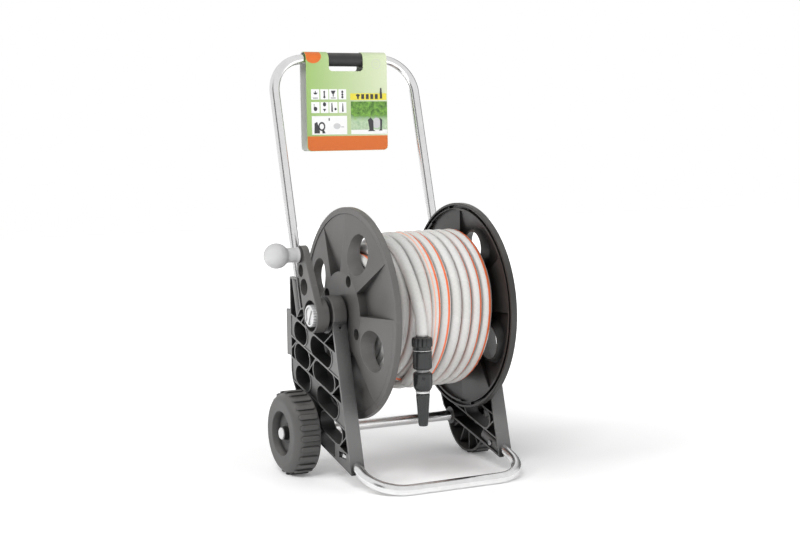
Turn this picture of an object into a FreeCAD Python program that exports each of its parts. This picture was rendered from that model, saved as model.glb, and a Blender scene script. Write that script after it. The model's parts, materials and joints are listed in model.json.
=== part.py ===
import FreeCAD, Part
import math
import os
import re
import Sketcher

# A garden hose reel cart. X is the reel's axis, the crank is on -X, the hose hangs on -Y and +Z is up.
# Sub-parts are drawn about the reel's axis, and their placements set the cart down on z = 0 with the
# origin in the middle of its width and depth. What comes in pairs is drawn on +X and mirrored.

SIZES = {
    # tubes
    "tube_radius": 8.0, "tube_wall": 1.2, "half_track": 124.5,
    "reel_height": 249.1,
    # handle
    "handle_low_y": 107.9, "handle_low_z": -10.0, "handle_top_y": 216.2, "handle_top_z": 386.3,
    "handle_bend": 56.0, "grip_radius": 11.0, "grip_length": 116.0,
    # foot tube
    "foot_low_y": -28.0, "foot_low_z": -201.0, "foot_bar_y": -145.0, "foot_bend": 52.0,
    # axle and wheels
    "axle_y": 73.4, "wheel_radius": 64.0, "wheel_inner": 141.6, "wheel_outer": 181.0,
    "tread_step": 2.6, "wheel_wall": 3.0, "hub_radius": 14.0, "bush_radius": 10.6, "lug_width": 7.6,
    "lug_length": 22.0, "dish_radius": 34.0, "dish_depth": 12.0, "shoulder": 13.0,
    "cap_radius": 9.0, "cap_head": 3.0,
    "axle_reach": 178.4, "running_gap": 0.06, "end_gap": 0.4,
    # side frames
    "frame_inner": 113.3, "frame_outer": 135.7, "wall": 3.0, "rib": 2.4, "web": 2.4, "web_inset": 1.0,
    "lean": 15.0, "rib_pitch": 33.65, "first_rib": 45.8, "foot_edge": 205.5, "front_edge": 18.5,
    "housing_radius": 27.5, "cap_seam": 8.0, "journal_radius": 17.0, "axle_boss": 13.5,
    "rear_edge": 132.5, "column_top": 47.5, "column_front": 20.0, "oval_long": 77.0, "oval_short": 56.0,
    # reel
    "flange_radius": 158.0, "rim_inner": 89.4, "rim_outer": 99.4, "rim_channel": 6.4, "lip": 9.0, "plateau_radius": 63.0,
    "plateau": 110.0, "flange_wall": 2.6, "hole_circle": 102.5, "hole_mouth": 32.0, "hole_throat": 25.0,
    "throat_x": 88.5, "first_hole": 27.5, "first_panel": 72.5, "panel_angle": 32.0, "panel_floor": 96.6,
    "well_circle": 56.0, "well_radius": 8.6, "well_floor": 100.0,
    "drum_radius": 41.0, "drum_wall": 3.0, "drum_end": 97.0, "shaft_disc": 31.0,
    # crank and knob
    "crank_y": 37.0, "crank_z": 88.0, "crank_inner": 141.0, "arm_inner": 150.0, "crank_outer": 160.0,
    "crank_hub": 25.5, "hub_well": 23.3, "well_step": 9.5,
    "crank_tip": 15.0, "crank_wall": 3.0, "square": 20.0, "lock_radius": 16.4, "lock_outer": 162.5,
    "knob_radius": 19.0, "knob_centre": 197.0, "neck_radius": 11.0, "neck_fillet": 5.0,
    "parting": 4.0, "pin_radius": 4.0,
    # water way
    "bore_radius": 6.0, "spigot_radius": 8.6, "inlet_reach": 172.0,
    # hose and what is on its end
    "hose_radius": 8.5, "winding_half": 86.0, "outer_layer": 117.0,
    "inner_layer": 102.2, "lane_x": -43.2, "lane_gap": 0.5, "hang_y": -128.5, "nut_top": -25.6,
    "nut_radius": 15.5, "neck_slide": 9.0, "nut_length": 18.5, "body_end": 47.0, "collar_end": 77.2,
    "collar_travel": 3.0, "ring_radius": 10.4, "ring_start": 78.2, "tip_start": 81.4, "spigot_end": 95.0,
    "tip_spigot": 5.0, "tip_end": 129.0, "screw_radius": 2.0,
    # header card
    "card_left": -68.6, "card_right": 75.6, "card_drop": 147.0, "card_thick": 0.8, "card_gap": 0.4,
    "window_left": -28.5, "window_right": 32.5, "window_drop": 19.0, "window_corner": 6.0,
}
RIBS = 5
LUGS = 24
SPOKES = 12
RIM_RIBS = 16
FLUTES = 12
HOLES = 4

# Points of the hose's free end about the reel's axis, along the hose: (angle from the top towards the
# front) round the winding, then (y, z) down the front.
TAIL_ANGLES = (-180, -150, -120, -90, -60, -30, 0, 30, 60)
TAIL_RING = 112.2
TAIL_DROP = ((-128.5, 2.0), (-128.5, -25.6))

V = FreeCAD.Vector
doc = FreeCAD.newDocument("hose_reel_cart")
sheet = doc.addObject("Spreadsheet::Sheet", "Sizes")
nodes = []


def fill_sheet():
    for row, (name, number) in enumerate(SIZES.items(), start=1):
        sheet.set(f"A{row}", name)
        sheet.set(f"B{row}", str(number))
        sheet.setAlias(f"B{row}", name)
    doc.recompute()


fill_sheet()


def size(name):
    return float(getattr(sheet, name))


def bound(text):
    """An expression in the sheet's words, as FreeCAD reads it from another object."""
    return re.sub(r"[a-z][a-z_0-9]*", r"Sizes.\g<0>", text)


# The cart's origin, seen from the reel's axis.
SHIFT_X = "(knob_centre + knob_radius - wheel_outer) / 2"
SHIFT_Y = "(flange_radius - handle_top_y - grip_radius - card_gap - card_thick) / 2"
AXLE_Z = "wheel_radius - reel_height"


def set_down(node, y="0", z="0"):
    """Places a sub-part drawn about an X axis at (y, z) from the reel's axis."""
    node.setExpression("Placement.Base.x", bound(SHIFT_X))
    node.setExpression("Placement.Base.y", bound(f"{SHIFT_Y} + {y}"))
    node.setExpression("Placement.Base.z", bound(f"reel_height + {z}"))
    nodes.append(node)
    return node


def closed_sketch(body, corners):
    """A sketch of straight lines whose corners are bound to the sheet."""
    plane = next(f for f in body.Origin.OriginFeatures if f.Role == "XY_Plane")
    sketch = body.newObject("Sketcher::SketchObject", body.Name + "_profile")
    sketch.AttachmentSupport = [(plane, "")]
    sketch.MapMode = "FlatFace"
    points = [V(number(x), number(r), 0) for x, r in corners]
    for start, end in zip(points, points[1:] + points[:1]):
        sketch.addGeometry(Part.LineSegment(start, end))
    for i, (x, r) in enumerate(corners):
        sketch.addConstraint(Sketcher.Constraint("Coincident", i - 1 if i else len(corners) - 1, 2, i, 1))
        for kind, axis, word in (("DistanceX", -2, x), ("DistanceY", -1, r)):
            if word == "0":
                sketch.addConstraint(Sketcher.Constraint("PointOnObject", i, 1, axis))
                continue
            index = sketch.addConstraint(Sketcher.Constraint(kind, i, 1, number(word)))
            sketch.setExpression(f"Constraints[{index}]", bound(word))
    return sketch


def number(text):
    """The value of an expression in the sheet's words."""
    words = re.findall(r"[a-z][a-z_0-9]*|[0-9.]+|[-+*/()]", text)
    return evaluate(words)


def evaluate(words):
    """Reads sums, products and brackets from a list of words, which it uses up."""
    total = product(words)
    while words and words[0] in "+-":
        sign = 1 if words.pop(0) == "+" else -1
        total += sign * product(words)
    return total


def product(words):
    result = factor(words)
    while words and words[0] in "*/":
        times = words.pop(0) == "*"
        result = result * factor(words) if times else result / factor(words)
    return result


def factor(words):
    word = words.pop(0)
    if word == "-":
        return -factor(words)
    if word == "(":
        result = evaluate(words)
        words.pop(0)
        return result
    return size(word) if word[0].isalpha() else float(word)


def turned(label, corners, y="0", z="0", place=True):
    """A body turned about X from (x, radius) corners."""
    body = doc.addObject("PartDesign::Body", label)
    body.Label = label
    sketch = closed_sketch(body, corners)
    turn = body.newObject("PartDesign::Revolution", label + "_turn")
    turn.Profile = sketch
    turn.ReferenceAxis = (sketch, ["H_Axis"])
    turn.Angle = 360
    body.Tip = turn
    return set_down(body, y, z) if place else body


def hanging(label, corners):
    """A body turned about the hose's hanging axis from (distance below the nut's top, radius) corners."""
    body = turned(label, corners, place=False)
    body.Placement = FreeCAD.Placement(V(), FreeCAD.Rotation(V(0, 1, 0), 90))
    body.setExpression("Placement.Base.x", bound(f"{SHIFT_X} + lane_x"))
    body.setExpression("Placement.Base.y", bound(f"{SHIFT_Y} + hang_y"))
    body.setExpression("Placement.Base.z", bound("reel_height + nut_top"))
    nodes.append(body)
    return body


def shaped(label, shape, y="0", z="0"):
    """A sub-part whose shape is worked out here, from sizes read off the sheet."""
    node = doc.addObject("Part::Feature", label)
    node.Label = label
    node.Shape = shape
    return set_down(node, y, z)


def mirrored(label, source):
    node = doc.addObject("Part::Mirroring", label)
    node.Label = label
    node.Source = source
    node.Normal = V(1, 0, 0)
    node.setExpression("Base.x", bound(SHIFT_X))
    nodes.append(node)
    return node


def rod(x0, x1, radius, y=0, z=0):
    """A round bar along X."""
    return Part.makeCylinder(radius, x1 - x0, V(x0, y, z), V(1, 0, 0))


def upright(x, y, z0, z1, radius):
    """A round bar along Z."""
    return Part.makeCylinder(radius, z1 - z0, V(x, y, z0), V(0, 0, 1))


def prism(outline, x0, x1):
    """A closed outline of (y, z) points, pushed from x0 to x1."""
    points = [V(x0, y, z) for y, z in outline]
    return Part.Face(Part.makePolygon(points + points[:1])).extrude(V(x1 - x0, 0, 0))


def strip(start, end, thick, x0, x1):
    """A flat bar between two (y, z) points."""
    length = math.hypot(end[0] - start[0], end[1] - start[1])
    angle = math.degrees(math.atan2(end[1] - start[1], end[0] - start[0]))
    bar = Part.makeBox(x1 - x0, length, thick, V(x0, 0, -thick / 2))
    bar.rotate(V(), V(1, 0, 0), angle)
    return bar.translate(V(0, start[0], start[1]))


def oval(centre, length, height, angle, x0, x1):
    """A round-ended block that lies at an angle to Y."""
    half = (length - height) / 2
    block = Part.makeBox(x1 - x0, 2 * half, height, V(x0, -half, -height / 2))
    ends = [rod(x0, x1, height / 2, side * half) for side in (-1, 1)]
    block = block.fuse(ends).removeSplitter()
    block.rotate(V(), V(1, 0, 0), angle)
    return block.translate(V(0, centre[0], centre[1]))


def spun(corners, angle=360, start=0):
    """A solid turned about X from (x, radius) corners, from a start angle off +Y."""
    face = Part.Face(Part.makePolygon([V(x, r, 0) for x, r in corners + corners[:1]]))
    solid = face.revolve(V(), V(1, 0, 0), angle)
    solid.rotate(V(), V(1, 0, 0), start)
    return solid


def tube_along(points, radius, bends, wall=0):
    """A round tube along straight runs joined by tangent arcs, one bend radius for each inner point."""
    edges = []
    here = points[0]
    for before, corner, after, bend in zip(points, points[1:], points[2:], bends):
        into = (corner - before).normalize()
        out = (after - corner).normalize()
        half_turn = into.getAngle(out) / 2
        reach = bend * math.tan(half_turn)
        start = corner - into * reach
        end = corner + out * reach
        middle = corner + (out - into).normalize() * (bend / math.cos(half_turn) - bend)
        edges.append(Part.LineSegment(here, start).toShape())
        edges.append(Part.Arc(start, middle, end).toShape())
        here = end
    edges.append(Part.LineSegment(here, points[-1]).toShape())
    wire = Part.Wire(edges)
    along = (points[1] - points[0]).normalize()

    def pipe(r):
        ring = Part.Wire([Part.makeCircle(r, points[0], along)])
        return wire.makePipeShell([ring], True, True)

    solid = pipe(radius)
    if wall:
        solid = solid.cut(pipe(radius - wall))
    return solid


def route_bends(points):
    """The arc radii that a free cord's corners take: 0.45 of the shorter run over tan(half the turn)."""
    bends = []
    for before, corner, after in zip(points, points[1:], points[2:]):
        into = corner - before
        out = after - corner
        half_turn = into.getAngle(out) / 2
        bends.append(0.45 * min(into.Length, out.Length) / math.tan(half_turn))
    return bends


# ---- tubes -------------------------------------------------------------------------------------------


def handle_points():
    """The handle's centre line: up one leg, across the top and down the other."""
    low = V(0, size("handle_low_y"), size("handle_low_z"))
    top = V(0, size("handle_top_y"), size("handle_top_z"))
    side = V(size("half_track"), 0, 0)
    return [low - side, top - side, top + side, low + side]


def handle_y(z):
    """The y of the handle's leg at a height."""
    low_y, low_z = size("handle_low_y"), size("handle_low_z")
    slope = (size("handle_top_y") - low_y) / (size("handle_top_z") - low_z)
    return low_y + slope * (z - low_z)


def foot_points():
    """The foot tube's centre line: out of one frame, across the floor and back into the other."""
    low = V(0, size("foot_low_y"), size("foot_low_z"))
    bar = V(0, size("foot_bar_y"), size("tube_radius") - size("reel_height"))
    side = V(size("half_track"), 0, 0)
    return [low - side, bar - side, bar + side, low + side]


def make_tubes():
    radius, wall = size("tube_radius"), size("tube_wall")
    handle = tube_along(handle_points(), radius, [size("handle_bend")] * 2, wall)
    foot = tube_along(foot_points(), radius, [size("foot_bend")] * 2, wall)
    screws = handle_screws() + foot_screws()
    pilots = [screw_body(*screw, size("screw_radius")) for screw in screws]
    shaped("handle_tube", handle.cut(pilots))
    shaped("foot_tube", foot.cut(pilots))
    turned("axle_tube", [
        ("-axle_reach", "tube_radius - tube_wall"), ("axle_reach", "tube_radius - tube_wall"),
        ("axle_reach", "tube_radius"), ("-axle_reach", "tube_radius")], "axle_y", AXLE_Z)
    make_screws("handle_tube_screws", handle_screws())
    make_screws("foot_tube_screws", foot_screws())


def handle_screws():
    """(side, y, z) of the two screws that pin each handle leg in its socket."""
    return [(side, handle_y(z), z) for side in (-1, 1) for z in (4.0, 34.0)]


def foot_screws():
    low, bar = foot_points()[:2]
    middle = low + (bar - low) * 0.2
    return [(side, middle.y, middle.z) for side in (-1, 1)]


def screw_body(side, y, z, radius):
    """A screw's shank, from a side frame's inner face into the tube."""
    x0, x1 = size("frame_inner"), size("half_track") - size("tube_radius") + 2 * size("tube_wall")
    shank = rod(x0, x1, radius, y, z)
    return shank if side > 0 else shank.mirror(V(), V(1, 0, 0))


def screw_head(side, y, z, radius):
    x1 = size("frame_inner")
    head = rod(x1 - radius, x1, 2 * radius, y, z)
    head = head.makeFillet(radius * 0.6, [e for e in head.Edges if is_ring(e, x1 - radius)])
    cross = Part.makeBox(radius / 2, radius * 2.4, radius / 2, V(x1 - radius, y - radius * 1.2, z - radius / 4))
    turned_cross = cross.copy()
    turned_cross.rotate(V(x1, y, z), V(1, 0, 0), 90)
    head = head.cut([cross, turned_cross])
    return head if side > 0 else head.mirror(V(), V(1, 0, 0))


def is_ring(edge, x):
    """Whether an edge is a full circle about X at x."""
    box = edge.BoundBox
    return edge.Closed and box.XLength < 0.01 and abs(box.XMin - x) < 0.01


def make_screws(label, places):
    radius = size("screw_radius")
    solids = [screw_body(*place, radius).fuse(screw_head(*place, radius)).removeSplitter()
              for place in places]
    shaped(label, Part.makeCompound(solids))


# ---- side frames -------------------------------------------------------------------------------------


def slope():
    return math.tan(math.radians(size("lean")))


def rib_z(k, y):
    """The height of sloping rib k at y."""
    return slope() * y - size("first_rib") - k * size("rib_pitch")


def foot_z(y):
    return slope() * y - size("foot_edge")


def front_y(z):
    return slope() * z - size("front_edge")


def outline(inset):
    """A side frame's outline in (y, z), drawn in by an inset."""
    rear, top = size("rear_edge") - inset, size("column_top") - inset
    boss = size("axle_y")
    grow = inset / math.cos(math.radians(size("lean")))
    low = foot_z(0) + grow
    front = -size("front_edge") + grow
    # the leg's tip is where the front edge meets the foot edge
    tip_y = (front + slope() * low) / (1 - slope() ** 2)
    column = handle_y(top) - size("column_front") + inset
    column_low = handle_y(2.0) - size("column_front") + inset
    housing = size("housing_radius")
    return [
        (front - 0.15 * housing, -0.2 * housing - inset),
        (tip_y, low + slope() * tip_y),
        (boss + 8.0, foot_z(boss + 8.0) + grow),
        (boss + 22.0 - inset, foot_z(boss) + 14.0),
        (rear - 17.0, -130.0), (rear - 4.0, -114.0), (rear, -99.0),
        (rear, top), (column, top), (column_low, 2.0 - inset), (0.6 * housing, 14.0 - inset),
    ]


def ovals():
    """(row, centre y, length) of the round-ended windows between the ribs."""
    long, short = size("oval_long"), size("oval_short")
    return [(0, 94.5, short - 7.0), (0, 20.5, long), (1, 89.5, short), (1, 11.0, long),
            (2, 88.0, short), (2, -0.5, long), (3, 68.0, short), (3, -12.0, long)]


def cross_ribs():
    """Ends in (y, z) of the short braces in the open rows."""
    return [((133.0, -66.0), (108.0, -50.5)), ((70.0, -94.0), (38.0, -69.0)),
            ((-14.0, -117.5), (-44.0, -98.5)), ((-38.0, -191.0), (-66.0, -170.5)),
            ((128.0, -113.0), (80.0, -126.0)), ((9.0, -43.5), (-22.0, -25.5)),
            ((109.0, -16.0), (91.0, 3.0)), ((92.0, -21.0), (72.0, -4.0)),
            ((40.0, -153.0), (66.0, -128.0))]


def side_frame():
    x0, x1 = size("frame_inner"), size("frame_outer")
    rib, wall, lean = size("rib"), size("wall"), size("lean")
    height = size("rib_pitch") * math.cos(math.radians(lean)) - rib
    housing = size("housing_radius")
    axle = (size("axle_y"), number(AXLE_Z))
    body = prism(outline(0), x0, x1).fuse([
        rod(x0, x1, housing), rod(x0, x1, size("axle_boss"), *axle)]).removeSplitter()
    hollow = prism(outline(wall), x0, x1)
    # what stays inside the hollow: ribs, braces, collars round the windows, the hub and the sockets
    kept = [strip((-90, rib_z(k, -90)), (140, rib_z(k, 140)), rib, x0, x1) for k in range(RIBS)]
    kept += [strip(a, b, 2.0, x0, x1) for a, b in cross_ribs()]
    kept += [rod(x0, x1, housing), rod(x0, x1, size("axle_boss"), *axle)]
    kept += [socket(handle_points()[3:1:-1], 62.0), socket(foot_points()[3:1:-1], 60.0)]
    windows = []
    for row, y, length in ovals():
        centre = (y, (rib_z(row, y) + rib_z(row + 1, y)) / 2)
        kept.append(oval(centre, length + 2 * rib, height + rib, lean, x0, x1))
        windows.append(oval(centre, length, height - 0.4, lean, x0 - 1, x1 + 1))
    # rows 0 and 2 carry a web a little inside the outer face; the other rows are open
    skin = size("web_inset")
    for row in (0, 2):
        band = prism([(-95, rib_z(row, -95)), (140, rib_z(row, 140)),
                      (140, rib_z(row + 1, 140)), (-95, rib_z(row + 1, -95))],
                     x1 - skin - size("web"), x1 - skin)
        kept.append(band)
    tube_band = prism([(-95, foot_z(-95)), (-24, foot_z(-24)), (-24, rib_z(4, -24)), (-95, rib_z(4, -95))],
                      x1 - 4.0, x1)
    kept.append(tube_band)
    cells = hollow.cut(kept)
    frame = body.cut([cells] + windows)
    tab = Part.makeBox(3.0, 18.0, 72.0, V(x1 - 4.0, size("rear_edge") - 1.0, -76.0))
    window = Part.makeBox(8.0, 24.0, 9.0, V(x1 - 7.0, -62.0, -206.0))
    frame = frame.fuse(tab).cut([window] + bores(x0, x1) + [cap_block()])
    return frame.removeSplitter()


def socket(line, length):
    """A sleeve round a tube's end, from a little below the end along the tube."""
    start, direction = line[0], (line[1] - line[0]).normalize()
    depth = (size("frame_outer") - size("frame_inner")) / 2
    return Part.makeCylinder(min(depth - 0.5, size("tube_radius") + 3.4), length + 4.0,
                             start - direction * 4.0, direction)


def bores(x0, x1):
    """Holes through a side frame for the reel's journal, the tubes and their screws."""
    tube = size("tube_radius")
    holes = [rod(x0 - 1, x1 + 1, size("journal_radius") + size("running_gap")),
             rod(x0 - 1, x1 + 1, tube, size("axle_y"), number(AXLE_Z))]
    for line in (handle_points(), foot_points()):
        start = line[3]
        direction = (line[2] - line[3]).normalize()
        holes.append(Part.makeCylinder(tube, 150.0, start, direction))
    holes += [screw_body(1, y, z, size("screw_radius")) for side, y, z in handle_screws() + foot_screws()
              if side > 0]
    return holes + [cap_screw(x, y, 14.0) for x, y in cap_places()]


def cap_block():
    """The space over the journal that the bearing cap fills."""
    x0, x1 = size("frame_inner"), size("frame_outer")
    reach = size("housing_radius") + 2.0
    return Part.makeBox(x1 - x0 + 2, 2 * reach, reach + size("cap_seam"),
                        V(x0 - 1, -reach, -size("cap_seam")))


def bearing_cap():
    """The upper half of the journal's housing, with straight sides so that it drops on from above."""
    x0, x1 = size("frame_inner"), size("frame_outer")
    journal = size("journal_radius") + size("running_gap")
    block = cap_block().common(rod(x0, x1, size("housing_radius") + 0.8))
    slot = Part.makeBox(x1 - x0 + 2, 2 * journal, size("cap_seam") + 1,
                        V(x0 - 1, -journal, -size("cap_seam") - 1))
    cap = block.cut([rod(x0 - 1, x1 + 1, journal), slot] + [cap_screw(x, y) for x, y in cap_places()])
    rings = [e for e in cap.Edges if e.BoundBox.XLength < 0.01 and e.BoundBox.ZMax > size("housing_radius")]
    return cap.makeFillet(1.6, rings)


def cap_places():
    middle = (size("frame_inner") + size("frame_outer")) / 2
    offset = (size("journal_radius") + size("housing_radius")) / 2
    return [(middle, -offset), (middle, offset)]


def cap_screw(x, y, spare=0.0):
    """A screw that rises through the frame into the bearing cap, with room for its head if spare."""
    radius = size("screw_radius")
    under = -math.sqrt(size("housing_radius") ** 2 - y ** 2) + 2.0
    shank = upright(x, y, under, 6.0, radius)
    return shank.fuse(upright(x, y, under - radius - spare, under, 2 * radius)).removeSplitter()


def make_side_frames():
    right = shaped("right_side_frame", side_frame())
    mirrored("left_side_frame", right)
    cap = shaped("right_bearing_cap", bearing_cap())
    mirrored("left_bearing_cap", cap)
    screws = [cap_screw(x, y) for x, y in cap_places()]
    screws += [screw.mirror(V(), V(1, 0, 0)) for screw in screws]
    shaped("bearing_cap_screws", Part.makeCompound(screws))


# ---- wheels ------------------------------------------------------------------------------------------


def wheel():
    """A hollow one-piece wheel about X: rounded outer shoulder, dished face, hub, spokes and lugs."""
    inner, outer = size("wheel_inner"), size("wheel_outer")
    wall, hub, bush = size("wheel_wall"), size("hub_radius"), size("bush_radius")
    tread = size("wheel_radius") - size("tread_step")
    dish, dish_x = size("dish_radius"), outer - size("dish_depth")
    shell = spun([
        (inner, tread), (outer, tread), (outer, dish), (dish_x, dish - 2.0), (dish_x, hub),
        (dish_x + 1.5, hub), (dish_x + 1.5, bush), (inner + 0.6, bush), (inner + 0.6, hub),
        (dish_x - wall, hub), (dish_x - wall, dish + wall), (outer - wall, dish + wall),
        (outer - wall, tread - wall), (inner, tread - wall)])
    shell = rounded(shell, outer, tread, size("shoulder"))
    shell = rounded(shell, outer - wall, tread - wall, size("shoulder") - wall)
    shell = rounded(shell, outer, dish, 1.5)
    shell = rounded(shell, dish_x + 1.5, hub, 1.0)
    spoke = Part.makeBox(dish_x - inner - 8.0, tread - hub - 1.0, wall * 0.8,
                         V(inner + 6.0, hub - 1.0, -wall * 0.4))
    spokes = copies(spoke, SPOKES)
    half, long, foot = size("lug_width") / 2, size("lug_length"), tread - wall + 0.6
    start = inner + 2.0 + half
    lug = Part.makeBox(long, size("lug_width"), size("wheel_radius") - foot, V(start, -half, foot))
    lug = lug.fuse([upright(start + dx, 0, foot, size("wheel_radius"), half)
                    for dx in (0, long)]).removeSplitter()
    top = [e for e in lug.Edges if e.BoundBox.ZMin > size("wheel_radius") - 0.01]
    lug = lug.makeFillet(1.1, top)
    return shell.fuse(spokes + copies(lug, LUGS)).removeSplitter()


def rounded(solid, x, radius, fillet):
    """Rounds the ring edge of a turned solid at (x, radius)."""
    ring = [e for e in solid.Edges if is_ring(e, x) and abs(e.BoundBox.YLength / 2 - radius) < 0.02]
    return solid.makeFillet(fillet, ring)


def copies(solid, count, start=0.0):
    """Evenly spaced copies of a solid about X."""
    result = []
    for k in range(count):
        copy = solid.copy()
        copy.rotate(V(), V(1, 0, 0), start + 360.0 * k / count)
        result.append(copy)
    return result


def make_wheels():
    place = ("axle_y", AXLE_Z)
    mirrored("left_wheel", shaped("right_wheel", wheel(), *place))
    bore = "tube_radius + running_gap"
    bush = turned("right_wheel_bush", [
        ("wheel_inner", bore), ("axle_reach - end_gap", bore), ("axle_reach - end_gap", "bush_radius"),
        ("wheel_inner + 0.6", "bush_radius"), ("wheel_inner + 0.6", "hub_radius"),
        ("wheel_inner", "hub_radius")], *place)
    mirrored("left_wheel_bush", bush)
    washer = turned("right_wheel_washer", [
        ("frame_outer", "tube_radius"), ("wheel_inner - end_gap", "tube_radius"),
        ("wheel_inner - end_gap", "hub_radius - 1"), ("frame_outer", "hub_radius - 1")], *place)
    mirrored("left_wheel_washer", washer)
    cap = turned("right_axle_cap", [
        ("axle_reach - 14", "0"), ("axle_reach + cap_head", "0"), ("axle_reach + cap_head", "cap_radius - 1.4"),
        ("axle_reach + cap_head - 1.2", "cap_radius"), ("axle_reach", "cap_radius"),
        ("axle_reach", "tube_radius - tube_wall"), ("axle_reach - 14", "tube_radius - tube_wall")], *place)
    mirrored("left_axle_cap", cap)


# ---- reel --------------------------------------------------------------------------------------------


def cone_x(radius):
    """The x of a flange's outer skin at a radius."""
    low, high = size("plateau_radius"), size("flange_radius") - size("lip")
    share = (radius - low) / (high - low)
    return size("plateau") + share * (size("rim_outer") - 1.2 - size("plateau"))


def flange():
    radius, lip = size("flange_radius"), size("lip")
    low, high = size("plateau_radius"), radius - lip
    plateau, wall = size("plateau"), size("flange_wall")
    rim0, rim1 = size("rim_inner"), size("rim_outer")
    bore = size("journal_radius") + 0.6
    floor, deep = size("panel_floor"), size("rim_channel")
    shell = spun([
        (plateau, bore), (plateau, low), (cone_x(high), high), (rim1, high), (rim1, radius), (rim0, radius),
        (rim0, radius - 3.4), (rim0 + deep, radius - 3.4), (rim0 + deep, high + 1.0), (rim0, high + 1.0),
        (rim0, high - 2.0), (cone_x(high) - wall, high - 2.0), (plateau - wall, low - 1.0),
        (plateau - wall, bore)])
    for x, r, fillet in ((rim1, radius, 1.5), (rim0, radius, 1.2), (rim1, high, 0.5)):
        shell = rounded(shell, x, r, fillet)
    full = [(floor - wall, low - wall), (plateau, low - wall), (plateau, low), (cone_x(high), high),
            (floor - wall, high)]
    # four sunken panels, each a pan between two conical arms
    half = size("panel_angle") / 2
    edge = math.degrees(wall / 105.0)
    sink = [(floor, low), (plateau + 5, low), (plateau + 5, high), (cone_x(high) - 0.3, high)]
    gap = [(floor - wall - 5, low - wall), (plateau + 5, low - wall), (plateau + 5, high),
           (floor - wall - 5, high)]
    for k in range(HOLES):
        middle = size("first_panel") + 90.0 * k
        pan = spun(full, 2 * (half + edge), middle - half - edge)
        pan = pan.cut(spun(sink, 2 * half, middle - half))
        shell = shell.cut(spun(gap, 2 * half, middle - half)).fuse(pan)
    # four funnel holes through the arms
    for k in range(HOLES):
        shell = add_funnel(shell, size("first_hole") + 90.0 * k)
    # short ribs that bridge the rim's channel
    rib = Part.makeBox(deep - 2.0, 2.0, radius - high - 3.0, V(rim0 + 2.6, -1.0, high))
    shell = shell.fuse(copies(rib, RIM_RIBS, 11.0))
    return shell.removeSplitter()


def add_funnel(shell, angle):
    """A tapered collar and its hole, then the screw's well on the same spoke."""
    circle, mouth, throat = size("hole_circle"), size("hole_mouth"), size("hole_throat")
    wall, x0, x1 = size("flange_wall"), size("throat_x"), size("plateau") - 2.0
    plateau, low = size("plateau"), size("plateau_radius")
    high = size("flange_radius") - size("lip")
    under_skin = spun([(x0 - 5, 1), (plateau, 1), (plateau, low), (cone_x(high), high), (x0 - 5, high)])
    taper = Part.makeCone(throat + wall, mouth + wall, x1 - x0, V(x0, circle, 0), V(1, 0, 0))
    hole = Part.makeCone(throat - 0.05, mouth + 0.4, x1 - x0 + 1.6, V(x0 - 0.1, circle, 0), V(1, 0, 0))
    well_y, well, deep = size("well_circle"), size("well_radius"), size("drum_end")
    cup = rod(deep, plateau, well + wall, well_y)
    bore = rod(size("well_floor"), plateau + 1, well, well_y)
    pilot = rod(deep - 1, plateau, size("screw_radius"), well_y)
    pieces = [taper, hole, cup, bore, pilot]
    for piece in pieces:
        piece.rotate(V(), V(1, 0, 0), angle)
    taper, hole, cup, bore, pilot = pieces
    shell = shell.fuse([taper.common(under_skin), cup])
    return shell.cut([hole, bore, pilot])


def make_reel():
    right = shaped("right_flange", flange())
    mirrored("left_flange", right)
    end, drum, wall = size("drum_end"), size("drum_radius"), size("drum_wall")
    disc = size("plateau_radius") - size("flange_wall") - size("end_gap")
    bore = size("bore_radius") + 4.0
    half = [(0, drum - wall), (end - wall, drum - wall), (end - wall, bore), (end, bore), (end, disc),
            (end - wall, disc), (end - wall, drum), (0, drum)]
    core = spun(half)
    core = core.fuse(core.mirror(V(), V(1, 0, 0)))
    screws = flange_screw_solids()
    nut_hole = Part.makeCylinder(7.6, 20.0, V(60.0, 0, -drum - 6.0), V(0, 0, 1))
    shaped("drum_core", core.cut([s for s in screws] + [nut_hole]).removeSplitter())
    shaped("flange_screws", Part.makeCompound(screws))
    turned("right_hub_shaft", [
        ("drum_end - drum_wall", "bore_radius + 0.5"), ("frame_outer + 2", "bore_radius + 0.5"),
        ("frame_outer + 2", "journal_radius - 1"), ("frame_outer + 1", "journal_radius"),
        ("plateau - flange_wall", "journal_radius"), ("plateau - flange_wall", "shaft_disc"),
        ("drum_end", "shaft_disc"), ("drum_end", "bore_radius + 4"),
        ("drum_end - drum_wall", "bore_radius + 4")])
    shaped("left_hub_shaft", left_shaft())
    shaped("hub_elbow", elbow())
    # the winding: an almost solid block of hose, one lane of its outer layer left to the free end
    lane = "hose_radius + lane_gap"
    turned("hose_winding", [
        ("-winding_half", "drum_radius"), ("winding_half", "drum_radius"), ("winding_half", "outer_layer"),
        (f"lane_x + {lane}", "outer_layer"), (f"lane_x + {lane}", "inner_layer - 2.7"),
        (f"lane_x - {lane}", "inner_layer - 2.7"), (f"lane_x - {lane}", "inner_layer"),
        ("-winding_half", "inner_layer")])


def flange_screw_solids():
    """Eight screws that clamp the flanges to the drum's end discs."""
    radius, floor, end = size("screw_radius"), size("well_floor"), size("drum_end")
    screw = rod(end - 8.0, floor, radius, size("well_circle"))
    screw = screw.fuse(rod(floor, floor + radius, 2 * radius, size("well_circle")))
    slot = Part.makeBox(radius, 0.8, 3.2 * radius,
                        V(floor + radius / 2, size("well_circle") - 0.4, -1.6 * radius))
    turned_slot = slot.copy()
    turned_slot.rotate(V(0, size("well_circle"), 0), V(1, 0, 0), 90)
    screw = screw.cut([slot, turned_slot]).removeSplitter()
    ring = copies(screw, HOLES, size("first_hole"))
    return ring + [s.mirror(V(), V(1, 0, 0)) for s in ring]


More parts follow.
